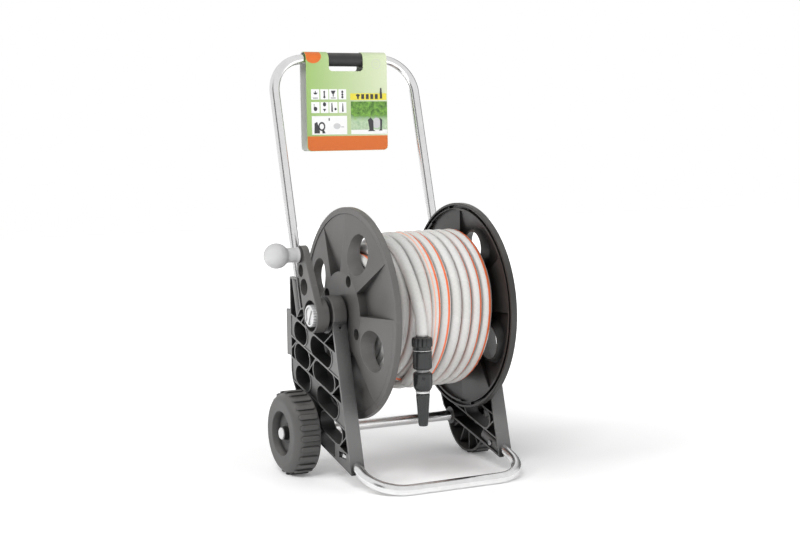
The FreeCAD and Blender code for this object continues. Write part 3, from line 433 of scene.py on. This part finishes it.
def hose_wall():
    """Clear grey hose: a pale wall over a criss-cross braid, with a bold and a thin stripe along it, and
    painted shade where the turns touch.
    """
    material, graph, shader = new_material("hose_wall")
    read = graph.node("ShaderNodeAttribute", attribute_name="hose_lie")
    parts = graph.split(read.outputs["Vector"])
    around = graph.math("ARCTAN2", parts["Y"], parts["X"])
    along = parts["Z"]
    bold = graph.ramp(graph.math("ABSOLUTE", around), BOLD_STRIPE, BOLD_STRIPE - STRIPE_EDGE)
    beside = graph.ramp(graph.math("ABSOLUTE", graph.math("SUBTRACT", around, THIN_STRIPE)), 0.16, 0.08)
    thin = graph.math("MULTIPLY", beside, graph.ramp(along, THIN_STRIPE_FROM, THIN_STRIPE_FROM + 0.1))
    braid = []
    for sign in (1.0, -1.0):
        slant = graph.math("ADD", graph.math("MULTIPLY", around, 5.0 * sign),
                           graph.math("MULTIPLY", along, 900.0))
        braid.append(graph.ramp(graph.math("SINE", slant), 0.55, 0.95))
    threads = graph.math("MAXIMUM", *braid)
    place = graph.place()
    cloud = graph.noise(9.0, 2.0, place)
    # painted shade: the wall darkens where the turns lie close together
    shade_in_hollows = place_group(graph, "deep_shade", Reach=0.004)
    wall = graph.mix(graph.ramp(cloud, 0.3, 0.7), HOSE_DULL, HOSE_PALE)
    braided = graph.mix(graph.math("MULTIPLY", threads, 0.08), wall, THREAD_WHITE)
    thin_red = graph.mix(graph.math("MULTIPLY", thin, 0.6), braided, HOSE_PINK)
    striped = graph.mix(bold, thin_red, HOSE_ORANGE)
    seam_shaded = graph.mix(graph.math("MULTIPLY", shade_in_hollows["Mask"], 0.35), striped, PAINTED_SEAM_SHADE)
    graph.feed(shader.inputs["Base Color"], seam_shaded)
    graph.feed(shader.inputs["Roughness"], graph.ramp(cloud, 0.3, 0.7, 0.22, 0.34))
    graph.feed(shader.inputs["Normal"], graph.bump(threads, 0.04, 0.0001))
    shader.inputs["Coat Weight"].default_value = 0.3
    shader.inputs["Coat Roughness"].default_value = 0.12
    return material


CARD_BACK = (0.5, 0.5, 0.5, 1.0)
CARD_TURN = 0.002
HEDGE_DARK, HEDGE_LIGHT = (0.02, 0.07, 0.015, 1.0), (0.2, 0.42, 0.06, 1.0)
LAWN_DARK, LAWN_LIGHT = (0.26, 0.4, 0.24, 1.0), (0.5, 0.6, 0.42, 1.0)


def printed(name, colour, second=None):
    """Card ink over paper fibre. A second colour fades in across the card, whose back is plain grey."""
    material, graph, shader = new_material(name)
    place = graph.place()
    parts = graph.split(place)
    low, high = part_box("header_card")
    rise = graph.ramp(parts["X"], low[0], high[0])
    fade = graph.mix(rise, colour, second or colour)
    if second:
        behind = AXIS.y + BAR_Y * MM
        fade = graph.mix(graph.ramp(parts["Y"], behind, behind + CARD_TURN), fade, CARD_BACK)
    fibre = graph.noise(900.0, 3.0, place)
    specks = graph.ramp(fibre, 0.6, 0.8, 0.0, 0.25)
    graph.feed(shader.inputs["Base Color"], graph.mix(specks, fade, shaded(colour, SPECKED)))
    graph.feed(shader.inputs["Roughness"], graph.ramp(fibre, 0.3, 0.7, 0.3, 0.42))
    graph.feed(shader.inputs["Normal"], graph.bump(fibre, 0.15, 0.00005))
    return material


def garden_print():
    """A printed garden: dark hedge above, pale lawn below, with leafy blotches."""
    material, graph, shader = new_material("garden_print")
    place = graph.place()
    parts = graph.split(place)
    low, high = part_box("header_card")
    middle = low[2] + 0.33 * (high[2] - low[2])
    leaves = graph.noise(160.0, 6.0, place, 0.7)
    rough_line = graph.math("ADD", parts["Z"], graph.ramp(leaves, 0.3, 0.7, -0.006, 0.006))
    hedge = graph.ramp(rough_line, middle - 0.004, middle + 0.004)
    blotches = graph.ramp(leaves, 0.35, 0.65)
    leafy = graph.mix(blotches, HEDGE_DARK, HEDGE_LIGHT)
    lawn = graph.mix(blotches, LAWN_DARK, LAWN_LIGHT)
    graph.feed(shader.inputs["Base Color"], graph.mix(hedge, lawn, leafy))
    shader.inputs["Roughness"].default_value = 0.35
    graph.feed(shader.inputs["Normal"], graph.bump(leaves, 0.08, 0.00004))
    return material


# each finish's shade and reach set how strongly and how far painted shade darkens its hollows; the
# lattice's windows go nearly black
FINISHES = {
    "grey_moulding": moulded("grey_moulding", grey(0.09, 1.035), grey(0.22), 0.42, shade=0.7),
    "lattice_moulding": moulded(
        "lattice_moulding", grey(0.15, 1.01), grey(0.5), 0.45, edge=0.0012, shade=1.0, reach=0.07),
    "charcoal_moulding": moulded("charcoal_moulding", grey(0.026, 1.05), grey(0.1), 0.38, shade=0.8),
    "wheel_grey": moulded(
        "wheel_grey", grey(0.08, 1.02), grey(0.2), 0.5, grain=900.0, dust=0.2, shade=0.95,
        reach=0.008),
    "dark_moulding": moulded("dark_moulding", grey(0.02), grey(0.08), 0.4),
    "nozzle_black": moulded(
        "nozzle_black", (0.015, 0.016, 0.017, 1.0), grey(0.12), 0.28, edge=0.0005, shade=0.8,
        reach=0.006),
    "grip_grey": moulded("grip_grey", (0.022, 0.022, 0.023, 1.0), grey(0.14), 0.5, grain=700.0),
    "white_knob": moulded(
        "white_knob", (0.46, 0.46, 0.462, 1.0), grey(0.6), 0.3, bump=0.06, dust=0.03, shade=0.1),
    "light_cap": moulded(
        "light_cap", (0.62, 0.62, 0.62, 1.0), grey(0.8), 0.3, bump=0.06, dust=0.03, shade=0.6,
        reach=0.005),
    "seal_rubber": moulded("seal_rubber", grey(0.02), grey(0.05), 0.6),
    "bright_tube": bright_metal("bright_tube", (0.86, 0.86, 0.86, 1.0), 0.16),
    "screw_steel": bright_metal("screw_steel", (0.5, 0.5, 0.51, 1.0), 0.3),
    "hose_wall": hose_wall(),
    "card_print": printed("card_print", (0.27, 0.42, 0.13, 1.0), (0.56, 0.62, 0.43, 1.0)),
    "ink_orange": printed("ink_orange", (0.58, 0.13, 0.018, 1.0)),
    "ink_white": printed("ink_white", (0.76, 0.76, 0.76, 1.0)),
    "ink_yellow": printed("ink_yellow", (0.66, 0.58, 0.06, 1.0)),
    "ink_dark": printed("ink_dark", (0.035, 0.035, 0.04, 1.0)),
    "ink_grey": printed("ink_grey", (0.50, 0.50, 0.51, 1.0)),
    "garden_print": garden_print(),
}


def dress_cad_nodes():
    """Gives every carried-over CAD node the finish of its material slot."""
    slots = {s["node"]: s["material_slot"] for s in frame["record"]["subparts"]}
    for name, piece in frame["nodes"].items():
        # the side frames take the lattice moulding, whose hollows carry the strongest painted shade
        finish = FINISHES["lattice_moulding" if "side_frame" in name else slots[name]]
        for slot in piece.material_slots:
            slot.material = finish


# ---- hose --------------------------------------------------------------------------------------------

# the hose, its lanes and layers about the reel's axis, and its free end's route, in millimetres
# and degrees
HOSE_RADIUS = 8.5
LANE_PITCH = 17.2
LANES = 10
LAYER_RADII = (49.5, 64.2, 79.0, 93.7, 108.4)
TURN_POINTS = 16
CROSSING_POINTS = 5
LANE_DRIFT, LAYER_DRIFT, DRIFT_SEED = 0.35, 0.12, 7
TAIL_LANE_X = -43.2
TAIL_RING = 112.2
TAIL_ANGLES = (-180, -150, -120, -90, -60, -30, 0, 30, 60)
TAIL_DROP = ((-128.5, 2.0), (-128.5, -25.6))
# in radians: how far the hose has twisted about itself on each turn of the outer layer, how far it sways
# in the layers under it, the free end's twist at its start, and how far that turns back along the way
OUTER_ROLLS = (1.38, 1.15, 0.85, 0.1, 1.31, 1.31, 0.0)
INNER_SWAY = 0.9
TAIL_ROLL, TAIL_UNROLL = 0.1, 0.3


def held(value):
    """The value, kept between 0 and 1."""
    return min(1.0, max(0.0, value))


def within(value, start, end, rise, fall):
    """1 between start and end, reached over a rise, and left over a fall; 0 outside."""
    return held((value - start) / rise) * held((end - value) / fall)


def route_line(name, points, steps):
    """The points of a smooth open spline of order three through a route's control points."""
    curve = bpy.data.curves.new(name + "_route", "CURVE")
    curve.dimensions = "3D"
    curve.resolution_u = steps
    spline = curve.splines.new("NURBS")
    spline.points.add(len(points) - 1)
    for knot, point in zip(spline.points, points):
        knot.co = (*point, 1.0)
    spline.order_u = 3
    spline.use_endpoint_u = True
    holder = bpy.data.objects.new(name + "_route", curve)
    bpy.context.collection.objects.link(holder)
    bpy.context.view_layer.update()
    mesh = bpy.data.meshes.new_from_object(holder.evaluated_get(bpy.context.evaluated_depsgraph_get()))
    line = [v.co.copy() for v in mesh.vertices]
    bpy.data.meshes.remove(mesh)
    bpy.data.objects.remove(holder)
    bpy.data.curves.remove(curve)
    return line


def hose_piece(name, line, roll_at, sides=16):
    """A round tube along a line, which keeps each point's way round and along the hose.

    roll_at gives how far the hose has twisted about itself at a point of the line.
    """
    radius = HOSE_RADIUS * MM
    verts, faces, lies = [], [], []
    run = 0.0
    reel_way = Vector((1, 0, 0))
    for i, point in enumerate(line):
        ahead = (line[min(i + 1, len(line) - 1)] - line[max(i - 1, 0)]).normalized()
        side = (reel_way - ahead * reel_way.dot(ahead)).normalized()
        across = ahead.cross(side)
        if i:
            run += (point - line[i - 1]).length
        roll = roll_at(i / (len(line) - 1))
        for k in range(sides):
            a = 2 * math.pi * k / sides
            verts.append(point + radius * (math.cos(a) * side + math.sin(a) * across))
            lies.append((math.cos(a - roll), math.sin(a - roll), run))
    for i in range(len(line) - 1):
        for k in range(sides):
            a, b = i * sides + k, i * sides + (k + 1) % sides
            faces.append((a, b, b + sides, a + sides))
    faces.append(tuple(range(sides))[::-1])
    faces.append(tuple(range((len(line) - 1) * sides, len(line) * sides)))
    mesh = bpy.data.meshes.new(name)
    mesh.from_pydata(verts, [], faces)
    mesh.update()
    mesh.shade_smooth()
    mesh.attributes.new("hose_lie", "FLOAT_VECTOR", "POINT").data.foreach_set(
        "vector", [c for lie in lies for c in lie])
    mesh.materials.append(FINISHES["hose_wall"])
    piece = bpy.data.objects.new(name, mesh)
    bpy.context.collection.objects.link(piece)
    return piece


def winding_points():
    """Control points of the wound hose, layer by layer, from the drum outwards."""
    drift = random.Random(DRIFT_SEED)
    points = []
    for layer, radius in enumerate(LAYER_RADII):
        lanes = LANES - layer % 2
        first = -(lanes - 1) * LANE_PITCH / 2
        order = list(range(lanes))
        if layer % 2:
            order.reverse()
        if layer == len(LAYER_RADII) - 1:
            # the outer layer comes back from the far side and isn't full
            order = order[::-1][:len(OUTER_ROLLS)]
        reach = radius / math.cos(math.pi / TURN_POINTS) ** 2
        for count, lane in enumerate(order):
            nudge = drift.uniform(-LANE_DRIFT, LANE_DRIFT)
            here = first + lane * LANE_PITCH
            there = first + order[min(count + 1, len(order) - 1)] * LANE_PITCH
            for k in range(TURN_POINTS):
                turn = -math.pi + 2 * math.pi * k / TURN_POINTS
                share = held((k - TURN_POINTS + CROSSING_POINTS) / CROSSING_POINTS)
                x = here + share * (there - here) + nudge * math.sin(turn)
                lift = reach + drift.uniform(-LAYER_DRIFT, LAYER_DRIFT)
                points.append(at(x, -lift * math.sin(turn), lift * math.cos(turn)))
    return points


def wound_roll(share):
    """The hose's twist along the winding, in radians: each outer turn shows its stripe its own way."""
    turns = [LANES - layer % 2 for layer in range(len(LAYER_RADII) - 1)] + [len(OUTER_ROLLS)]
    turn = share * sum(turns) - sum(turns[:-1])
    if turn <= 0.0:
        return OUTER_ROLLS[0] + INNER_SWAY * math.sin(turn)
    # each turn keeps its twist over its upper half and blends into the next one's over the lower half
    low = min(int(turn - 0.25), len(OUTER_ROLLS) - 2) if turn > 0.25 else 0
    blend = held((turn - 0.75 - low) * 2.0)
    return OUTER_ROLLS[low] + blend * (OUTER_ROLLS[low + 1] - OUTER_ROLLS[low])


def tail_points():
    """Control points of the free end: from the back over the winding, then down to the connector."""
    points = []
    for angle in TAIL_ANGLES:
        a = math.radians(angle)
        points.append(at(TAIL_LANE_X, -TAIL_RING * math.sin(a), TAIL_RING * math.cos(a)))
    return points + [at(TAIL_LANE_X, y, z) for y, z in TAIL_DROP]


def tail_roll(share):
    """The free end's twist from the winding to the connector, in radians."""
    return TAIL_ROLL - TAIL_UNROLL * share


def make_hoses(end_pieces):
    wound = route_line("wound_hose", winding_points(), 3)
    piece = hose_piece("wound_hose", wound, wound_roll)
    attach(piece, "reel")
    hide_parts("hose_winding")
    free = route_line("free_hose", tail_points(), 8)
    tail = hose_piece("free_hose", free, tail_roll, sides=24)
    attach(tail, "cart")
    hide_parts("hose_tail")


# ---- connector and nozzle ----------------------------------------------------------------------------

# where the hose ends in its connector, in millimetres from the reel's axis
HANG = (-43.2, -128.5, -25.6)
# edges that turn by more than this many degrees stay sharp
SHARP_FROM = 38
# the nut's lobes, the shell's ribs and the tip's flutes: how many go round, how deep they are, and from
# which drop to which they run, in millimetres, with the nut's and the tip's run-in and run-out
NUT_LOBES, NUT_GROOVE = 12, 1.7
NUT_RUN = (0.3, 14.2, 1.5, 0.8)
BODY_RIBS, BODY_RIB = 40, 0.6
BODY_FROM, BODY_TO = 23.0, 44.0
TIP_FLUTES, TIP_FLUTE = 10, 0.8
TIP_RUN = (83.0, 127.5, 2.0, 2.0)
# the two ribbed sides: their turn in radians, where they start and how sharply
RIBBED_TURN, RIBBED_FROM, RIBBED_SHARP = 0.45, 0.55, 8.0
# the collar's facets: how many, and their share of the way from round to flat
COLLAR_FACETS, FACET_SHARE = 10, 0.65
# the collar's dimple: its drop, half height and depth in millimetres, its way round in radians and
# how narrow it is
DIMPLE_DROP, DIMPLE_HALF, DIMPLE_DEEP = 57.0, 1.6, 1.3
DIMPLE_WAY, DIMPLE_NARROW = 1.37 * math.pi, 120
# inside these radii the collar's and the tip's bores stay round
COLLAR_BORE, TIP_BORE = 10.0, 6.0

# (drop, radius) stations down the hanging pieces, in millimetres
NUT = (
    (1.2, 8.7), (0.2, 9.6), (0.0, 11.4), (0.6, 13.4), (1.8, 14.8), (3.2, 15.3), (8.0, 15.4),
    (12.4, 15.3), (13.3, 14.8), (13.9, 14.0), (14.4, 13.2), (18.5, 13.2),
)
PALE_LINE = ((19.0, 12.0), (19.0, 13.5), (19.7, 13.5), (19.7, 12.0))
SHELL = (
    (18.5, 12.8), (20.2, 12.8), (20.6, 13.4), (22.0, 13.8), (23.2, 13.85), (23.21, 13.85),
    (33.0, 13.85), (43.8, 13.85), (43.9, 13.85), (44.8, 13.6), (45.9, 12.8), (46.7, 11.4), (47.0, 9.6),
)
COLLAR = (
    (50.5, 9.4), (50.5, 11.4), (51.4, 13.0), (53.0, 14.1),
    *((53.6 + 0.7 * i, 14.2) for i in range(12)),
    (66.0, 14.2), (70.0, 14.1), (73.2, 13.3), (76.4, 11.3), (77.1, 10.6), (77.1, 9.4),
)
TIP = (
    (81.4, 5.2), (81.4, 8.8), (82.2, 9.7), (84.0, 10.1), (86.0, 9.95), (96.0, 9.2), (106.0, 8.45),
    (116.0, 7.7), (125.0, 7.05), (127.6, 6.7), (128.6, 6.2), (129.0, 5.4), (129.0, 3.2), (127.5, 2.6),
    (95.8, 2.5), (95.5, 5.1),
)


def hanging_piece(name, stations, shape, finish, body, replaced=None, sides=120, ring=False):
    """A piece turned about the hose's hanging axis from (drop, radius) stations in millimetres.

    shape(angle, drop, radius) gives the radius with the piece's lobes, ribs, facets or flutes. A ring
    joins its last station to its first round a bore; anything else is closed by an end face.
    """
    x, y, z = HANG
    verts, faces = [], []
    for drop, radius in stations:
        for k in range(sides):
            a = 2 * math.pi * k / sides
            r = shape(a, drop, radius)
            verts.append(at(x + r * math.cos(a), y + r * math.sin(a), z - drop))
    rows = len(stations)
    for i in range(rows if ring else rows - 1):
        j = (i + 1) % rows
        for k in range(sides):
            m = (k + 1) % sides
            faces.append((i * sides + k, j * sides + k, j * sides + m, i * sides + m))
    if not ring:
        faces.append(tuple(range(sides)))
        faces.append(tuple(range((rows - 1) * sides, rows * sides))[::-1])
    piece = solid_piece(name, verts, faces, finish)
    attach(piece, body)
    if replaced:
        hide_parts(replaced)
    return piece


def solid_piece(name, verts, faces, finish):
    """A closed mesh object with faces turned outwards, smooth except across sharp edges."""
    mesh = bpy.data.meshes.new(name)
    mesh.from_pydata(verts, [], faces)
    form = bmesh.new()
    form.from_mesh(mesh)
    bmesh.ops.recalc_face_normals(form, faces=form.faces)
    form.to_mesh(mesh)
    form.free()
    mesh.shade_smooth()
    mesh.set_sharp_from_angle(angle=math.radians(SHARP_FROM))
    mesh.materials.append(FINISHES[finish])
    piece = bpy.data.objects.new(name, mesh)
    bpy.context.collection.objects.link(piece)
    return piece


def nut_grip(angle, drop, radius):
    groove = (0.5 + 0.5 * math.cos(NUT_LOBES * angle)) ** 3
    return radius - NUT_GROOVE * groove * within(drop, *NUT_RUN)


def body_ribs(angle, drop, radius):
    """Ribs along two opposite sides of the shell, where fingers hold it."""
    if not BODY_FROM < drop < BODY_TO:
        return radius
    zone = held((abs(math.cos(angle + RIBBED_TURN)) - RIBBED_FROM) * RIBBED_SHARP)
    return radius - BODY_RIB * zone * (0.5 + 0.5 * math.cos(BODY_RIBS * angle)) ** 2


def collar_facets(angle, drop, radius):
    """Facets between round and flat outside, with one small dimple; the bore stays round."""
    if radius < COLLAR_BORE:
        return radius
    step = 2 * math.pi / COLLAR_FACETS
    local = (angle % step) - step / 2
    facet = radius * (1.0 - FACET_SHARE + FACET_SHARE * math.cos(step / 2) / math.cos(local))
    toward = max(0.0, math.cos(angle - DIMPLE_WAY)) ** DIMPLE_NARROW
    return facet - DIMPLE_DEEP * math.exp(-((drop - DIMPLE_DROP) / DIMPLE_HALF) ** 2) * toward


def tip_flutes(angle, drop, radius):
    if radius < TIP_BORE:
        return radius
    groove = (0.5 + 0.5 * math.cos(TIP_FLUTES * angle)) ** 3
    return radius - TIP_FLUTE * groove * within(drop, *TIP_RUN)


def plain(angle, drop, radius):
    """A round piece: the shape that changes nothing."""
    return radius


def make_hose_end():
    """The screw connector, its pale line, the sliding collar and the twist nozzle."""
    black = "nozzle_black"
    nut = hanging_piece("hose_nut", NUT, nut_grip, black, "cart", "connector_nut")
    line = hanging_piece("connector_line", PALE_LINE, plain, "light_cap", "cart", ring=True)
    body = hanging_piece("connector_shell", SHELL, body_ribs, black, "cart", "connector_body")
    collar = hanging_piece("sliding_collar", COLLAR, collar_facets, black, "collar",
                           "connector_collar", ring=True)
    tip = hanging_piece("spray_nozzle", TIP, tip_flutes, black, "spray_tip", "nozzle_tip", ring=True)
    inner = [frame["nodes"][n] for n in ("connector_neck", "nozzle_body")]
    return [nut, line, body, collar, tip] + inner


# ---- header card -------------------------------------------------------------------------------------

# how far each ink stands off the card, and where its rear face lies, in millimetres
INK, DRAWN_INK, SOFT_INK, INK_REAR = 0.12, 0.2, 0.16, 0.02
# the rest is in shares of the card's width and height, with v down from the fold
CORNER_U, CORNER_V = 0.088, 0.036
CORNER_ACROSS, CORNER_DOWN = 0.0995, 0.084
CORNER_FROM, CORNER_TO, CORNER_ROWS = 0.004, 0.1195, 16
HOOP_BLOCKS = 28
BAND = (
    (0.003, 0.85), (0.003, 0.955), (0.012, 0.98), (0.045, 0.997),
    (0.955, 0.997), (0.988, 0.98), (0.997, 0.955), (0.997, 0.85),
)
BOX_ROWS = ((0.378, 0.481), (0.507, 0.617))
BOX_COLUMNS = ((0.055, 0.155), (0.168, 0.265), (0.275, 0.375), (0.39, 0.485))
STRIP_BLOCKS = (0.672, 0.73, 0.786, 0.843)
CARD_EDGE = 0.002


def card_spot(u, v, lift):
    """A point on the card's front, from shares of its width and height, lifted off the print."""
    down = v * CARD_DROP
    reach = FOLD + lift
    y = -reach
    if down < FOLD:
        y = -reach * math.sin(math.acos(1.0 - down / FOLD))
    rise = reach * (1.0 - down / FOLD) if down < FOLD else FOLD - down
    return at(CARD_LEFT + u * CARD_WIDE, BAR_Y + y, BAR_Z + rise)


def printed_shapes(name, outlines, finish, lift, flat=True):
    """Thin closed patches of ink on the card's front, one for each outline of (u, v) points."""
    verts, faces = [], []
    for outline in outlines:
        start, count = len(verts), len(outline)
        for height in (lift, INK_REAR):
            verts += [card_spot(u, v, height) for u, v in outline]
        front = [start + k for k in range(count)]
        rear = [start + count + k for k in range(count)]
        if flat:
            faces += [front, rear[::-1]]
        else:
            # an outline of pairs, left and right, row by row down the fold
            for k in range(0, count // 2 - 1):
                left, right = (k, k + 1), (count - 1 - k, count - 2 - k)
                faces.append([front[left[0]], front[left[1]], front[right[1]], front[right[0]]])
                faces.append([rear[left[0]], rear[right[0]], rear[right[1]], rear[left[1]]])
        faces += [[front[k], front[k - 1], rear[k - 1], rear[k]] for k in range(count)]
    piece = solid_piece(name, verts, faces, finish)
    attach(piece, "cart")
    return piece


def block(u0, v0, u1, v1):
    return [(u0, v0), (u0, v1), (u1, v1), (u1, v0)]


def disc(u, v, ru, rv, count):
    turns = [2 * math.pi * k / count for k in range(count)]
    return [(u + ru * math.cos(t), v + rv * math.sin(t)) for t in turns]


def hoop(u, v, ru, rv, wide):
    """A ring drawn as a row of small blocks round a centre."""
    shapes = []
    for k in range(HOOP_BLOCKS):
        a, b = 2 * math.pi * k / HOOP_BLOCKS, 2 * math.pi * (k + 1) / HOOP_BLOCKS
        shapes.append([(u + s * ru * math.cos(t), v + s * rv * math.sin(t))
                       for s, t in ((1, a), (1, b), (wide, b), (wide, a))])
    return shapes


def corner_rows():
    """The orange corner's outline: a disc cut off by the card's left edge, as rows down the fold."""
    rows = []
    for k in range(CORNER_ROWS + 1):
        v = CORNER_FROM + (CORNER_TO - CORNER_FROM) * k / CORNER_ROWS
        half = CORNER_ACROSS * math.sqrt(max(0.0, 1 - ((v - CORNER_V) / CORNER_DOWN) ** 2))
        rows.append((v, max(CARD_EDGE, CORNER_U - half), CORNER_U + half))
    return [(u0, v) for v, u0, u1 in rows] + [(u1, v) for v, u0, u1 in rows[::-1]]


def boxed_drawings():
    """Plain silhouettes in the white boxes, from the upper row's left to the lower row's right."""
    return [
        [(0.08, 0.412), (0.135, 0.412), (0.12, 0.43), (0.095, 0.43)],
        block(0.102, 0.395, 0.112, 0.412),
        block(0.075, 0.462, 0.135, 0.47),
        disc(0.215, 0.405, 0.012, 0.012, 12),
        block(0.207, 0.417, 0.223, 0.45),
        disc(0.215, 0.458, 0.014, 0.012, 12),
        [(0.295, 0.392), (0.355, 0.392), (0.335, 0.425), (0.31, 0.425)],
        block(0.318, 0.425, 0.33, 0.452),
        block(0.295, 0.462, 0.355, 0.47),
        disc(0.437, 0.405, 0.013, 0.014, 12),
        disc(0.437, 0.432, 0.013, 0.013, 12),
        disc(0.437, 0.458, 0.014, 0.013, 12),
        disc(0.105, 0.575, 0.022, 0.022, 14),
        block(0.085, 0.525, 0.092, 0.575),
        disc(0.215, 0.53, 0.02, 0.022, 16),
        [(0.195, 0.575), (0.235, 0.575), (0.215, 0.605)],
        [(0.3, 0.515), (0.312, 0.515), (0.318, 0.605), (0.298, 0.605)],
        disc(0.35, 0.578, 0.014, 0.014, 12),
        [(0.436, 0.52), (0.444, 0.52), (0.45, 0.605), (0.43, 0.605)],
    ]


def strip_drawings():
    """Plain silhouettes on the yellow strip: a wide head on a foot, a tall one and four blocks."""
    return [
        disc(0.63, 0.44, 0.026, 0.013, 14),
        [(0.617, 0.45), (0.643, 0.45), (0.638, 0.478), (0.622, 0.478)],
        block(0.907, 0.43, 0.935, 0.475),
        [(0.91, 0.365), (0.928, 0.365), (0.933, 0.43), (0.905, 0.43)],
        *(block(u, 0.428, u + 0.036, 0.478) for u in STRIP_BLOCKS),
    ]


def cart_drawings():
    """Two plain drawings of the cart: one with legs, drum and crank, and one with its two frames."""
    return [
        *hoop(0.178, 0.752, 0.042, 0.046, 0.62),
        [(0.09, 0.72), (0.122, 0.705), (0.155, 0.8), (0.15, 0.822), (0.085, 0.822)],
        [(0.18, 0.795), (0.205, 0.79), (0.222, 0.82), (0.185, 0.822)],
        block(0.262, 0.668, 0.276, 0.695),
        [(0.75, 0.69), (0.785, 0.665), (0.82, 0.7), (0.82, 0.79), (0.845, 0.805), (0.745, 0.805),
         (0.77, 0.79)],
        [(0.895, 0.665), (0.932, 0.69), (0.925, 0.785), (0.935, 0.8), (0.885, 0.8), (0.905, 0.785),
         (0.905, 0.7)],
    ]


def soft_drawings():
    """The paler shapes: a coil with its end, the second cart's drum, and a round mark with two lines."""
    return [
        disc(0.365, 0.75, 0.045, 0.03, 18),
        block(0.415, 0.752, 0.452, 0.764),
        disc(0.86, 0.723, 0.05, 0.055, 22),
        *hoop(0.865, 0.12, 0.054, 0.05, 0.93),
        block(0.845, 0.105, 0.885, 0.108),
        block(0.845, 0.13, 0.885, 0.133),
    ]


def make_header_print():
    """The card's printed areas as thin raised patches: plain shapes and silhouettes only."""
    printed_shapes("card_corner", [corner_rows()], "ink_orange", INK, flat=False)
    printed_shapes("card_band", [BAND], "ink_orange", INK)
    boxes = [block(u0, v0, u1, v1) for v0, v1 in BOX_ROWS for u0, u1 in BOX_COLUMNS]
    boxes += [block(0.058, 0.647, 0.49, 0.834), block(0.54, 0.79, 0.995, 0.834)]
    printed_shapes("card_boxes", boxes, "ink_white", INK)
    printed_shapes("card_strip", [block(0.535, 0.42, 0.988, 0.487)], "ink_yellow", INK)
    printed_shapes("card_garden", [block(0.54, 0.502, 0.995, 0.79)], "garden_print", INK)
    drawings = boxed_drawings() + strip_drawings() + cart_drawings()
    printed_shapes("card_drawings", drawings, "ink_dark", DRAWN_INK)
    printed_shapes("card_soft_drawings", soft_drawings(), "ink_grey", SOFT_INK)


make_camera()
make_hoses(make_hose_end())
make_header_print()
make_light()
make_floor()
dress_cad_nodes()
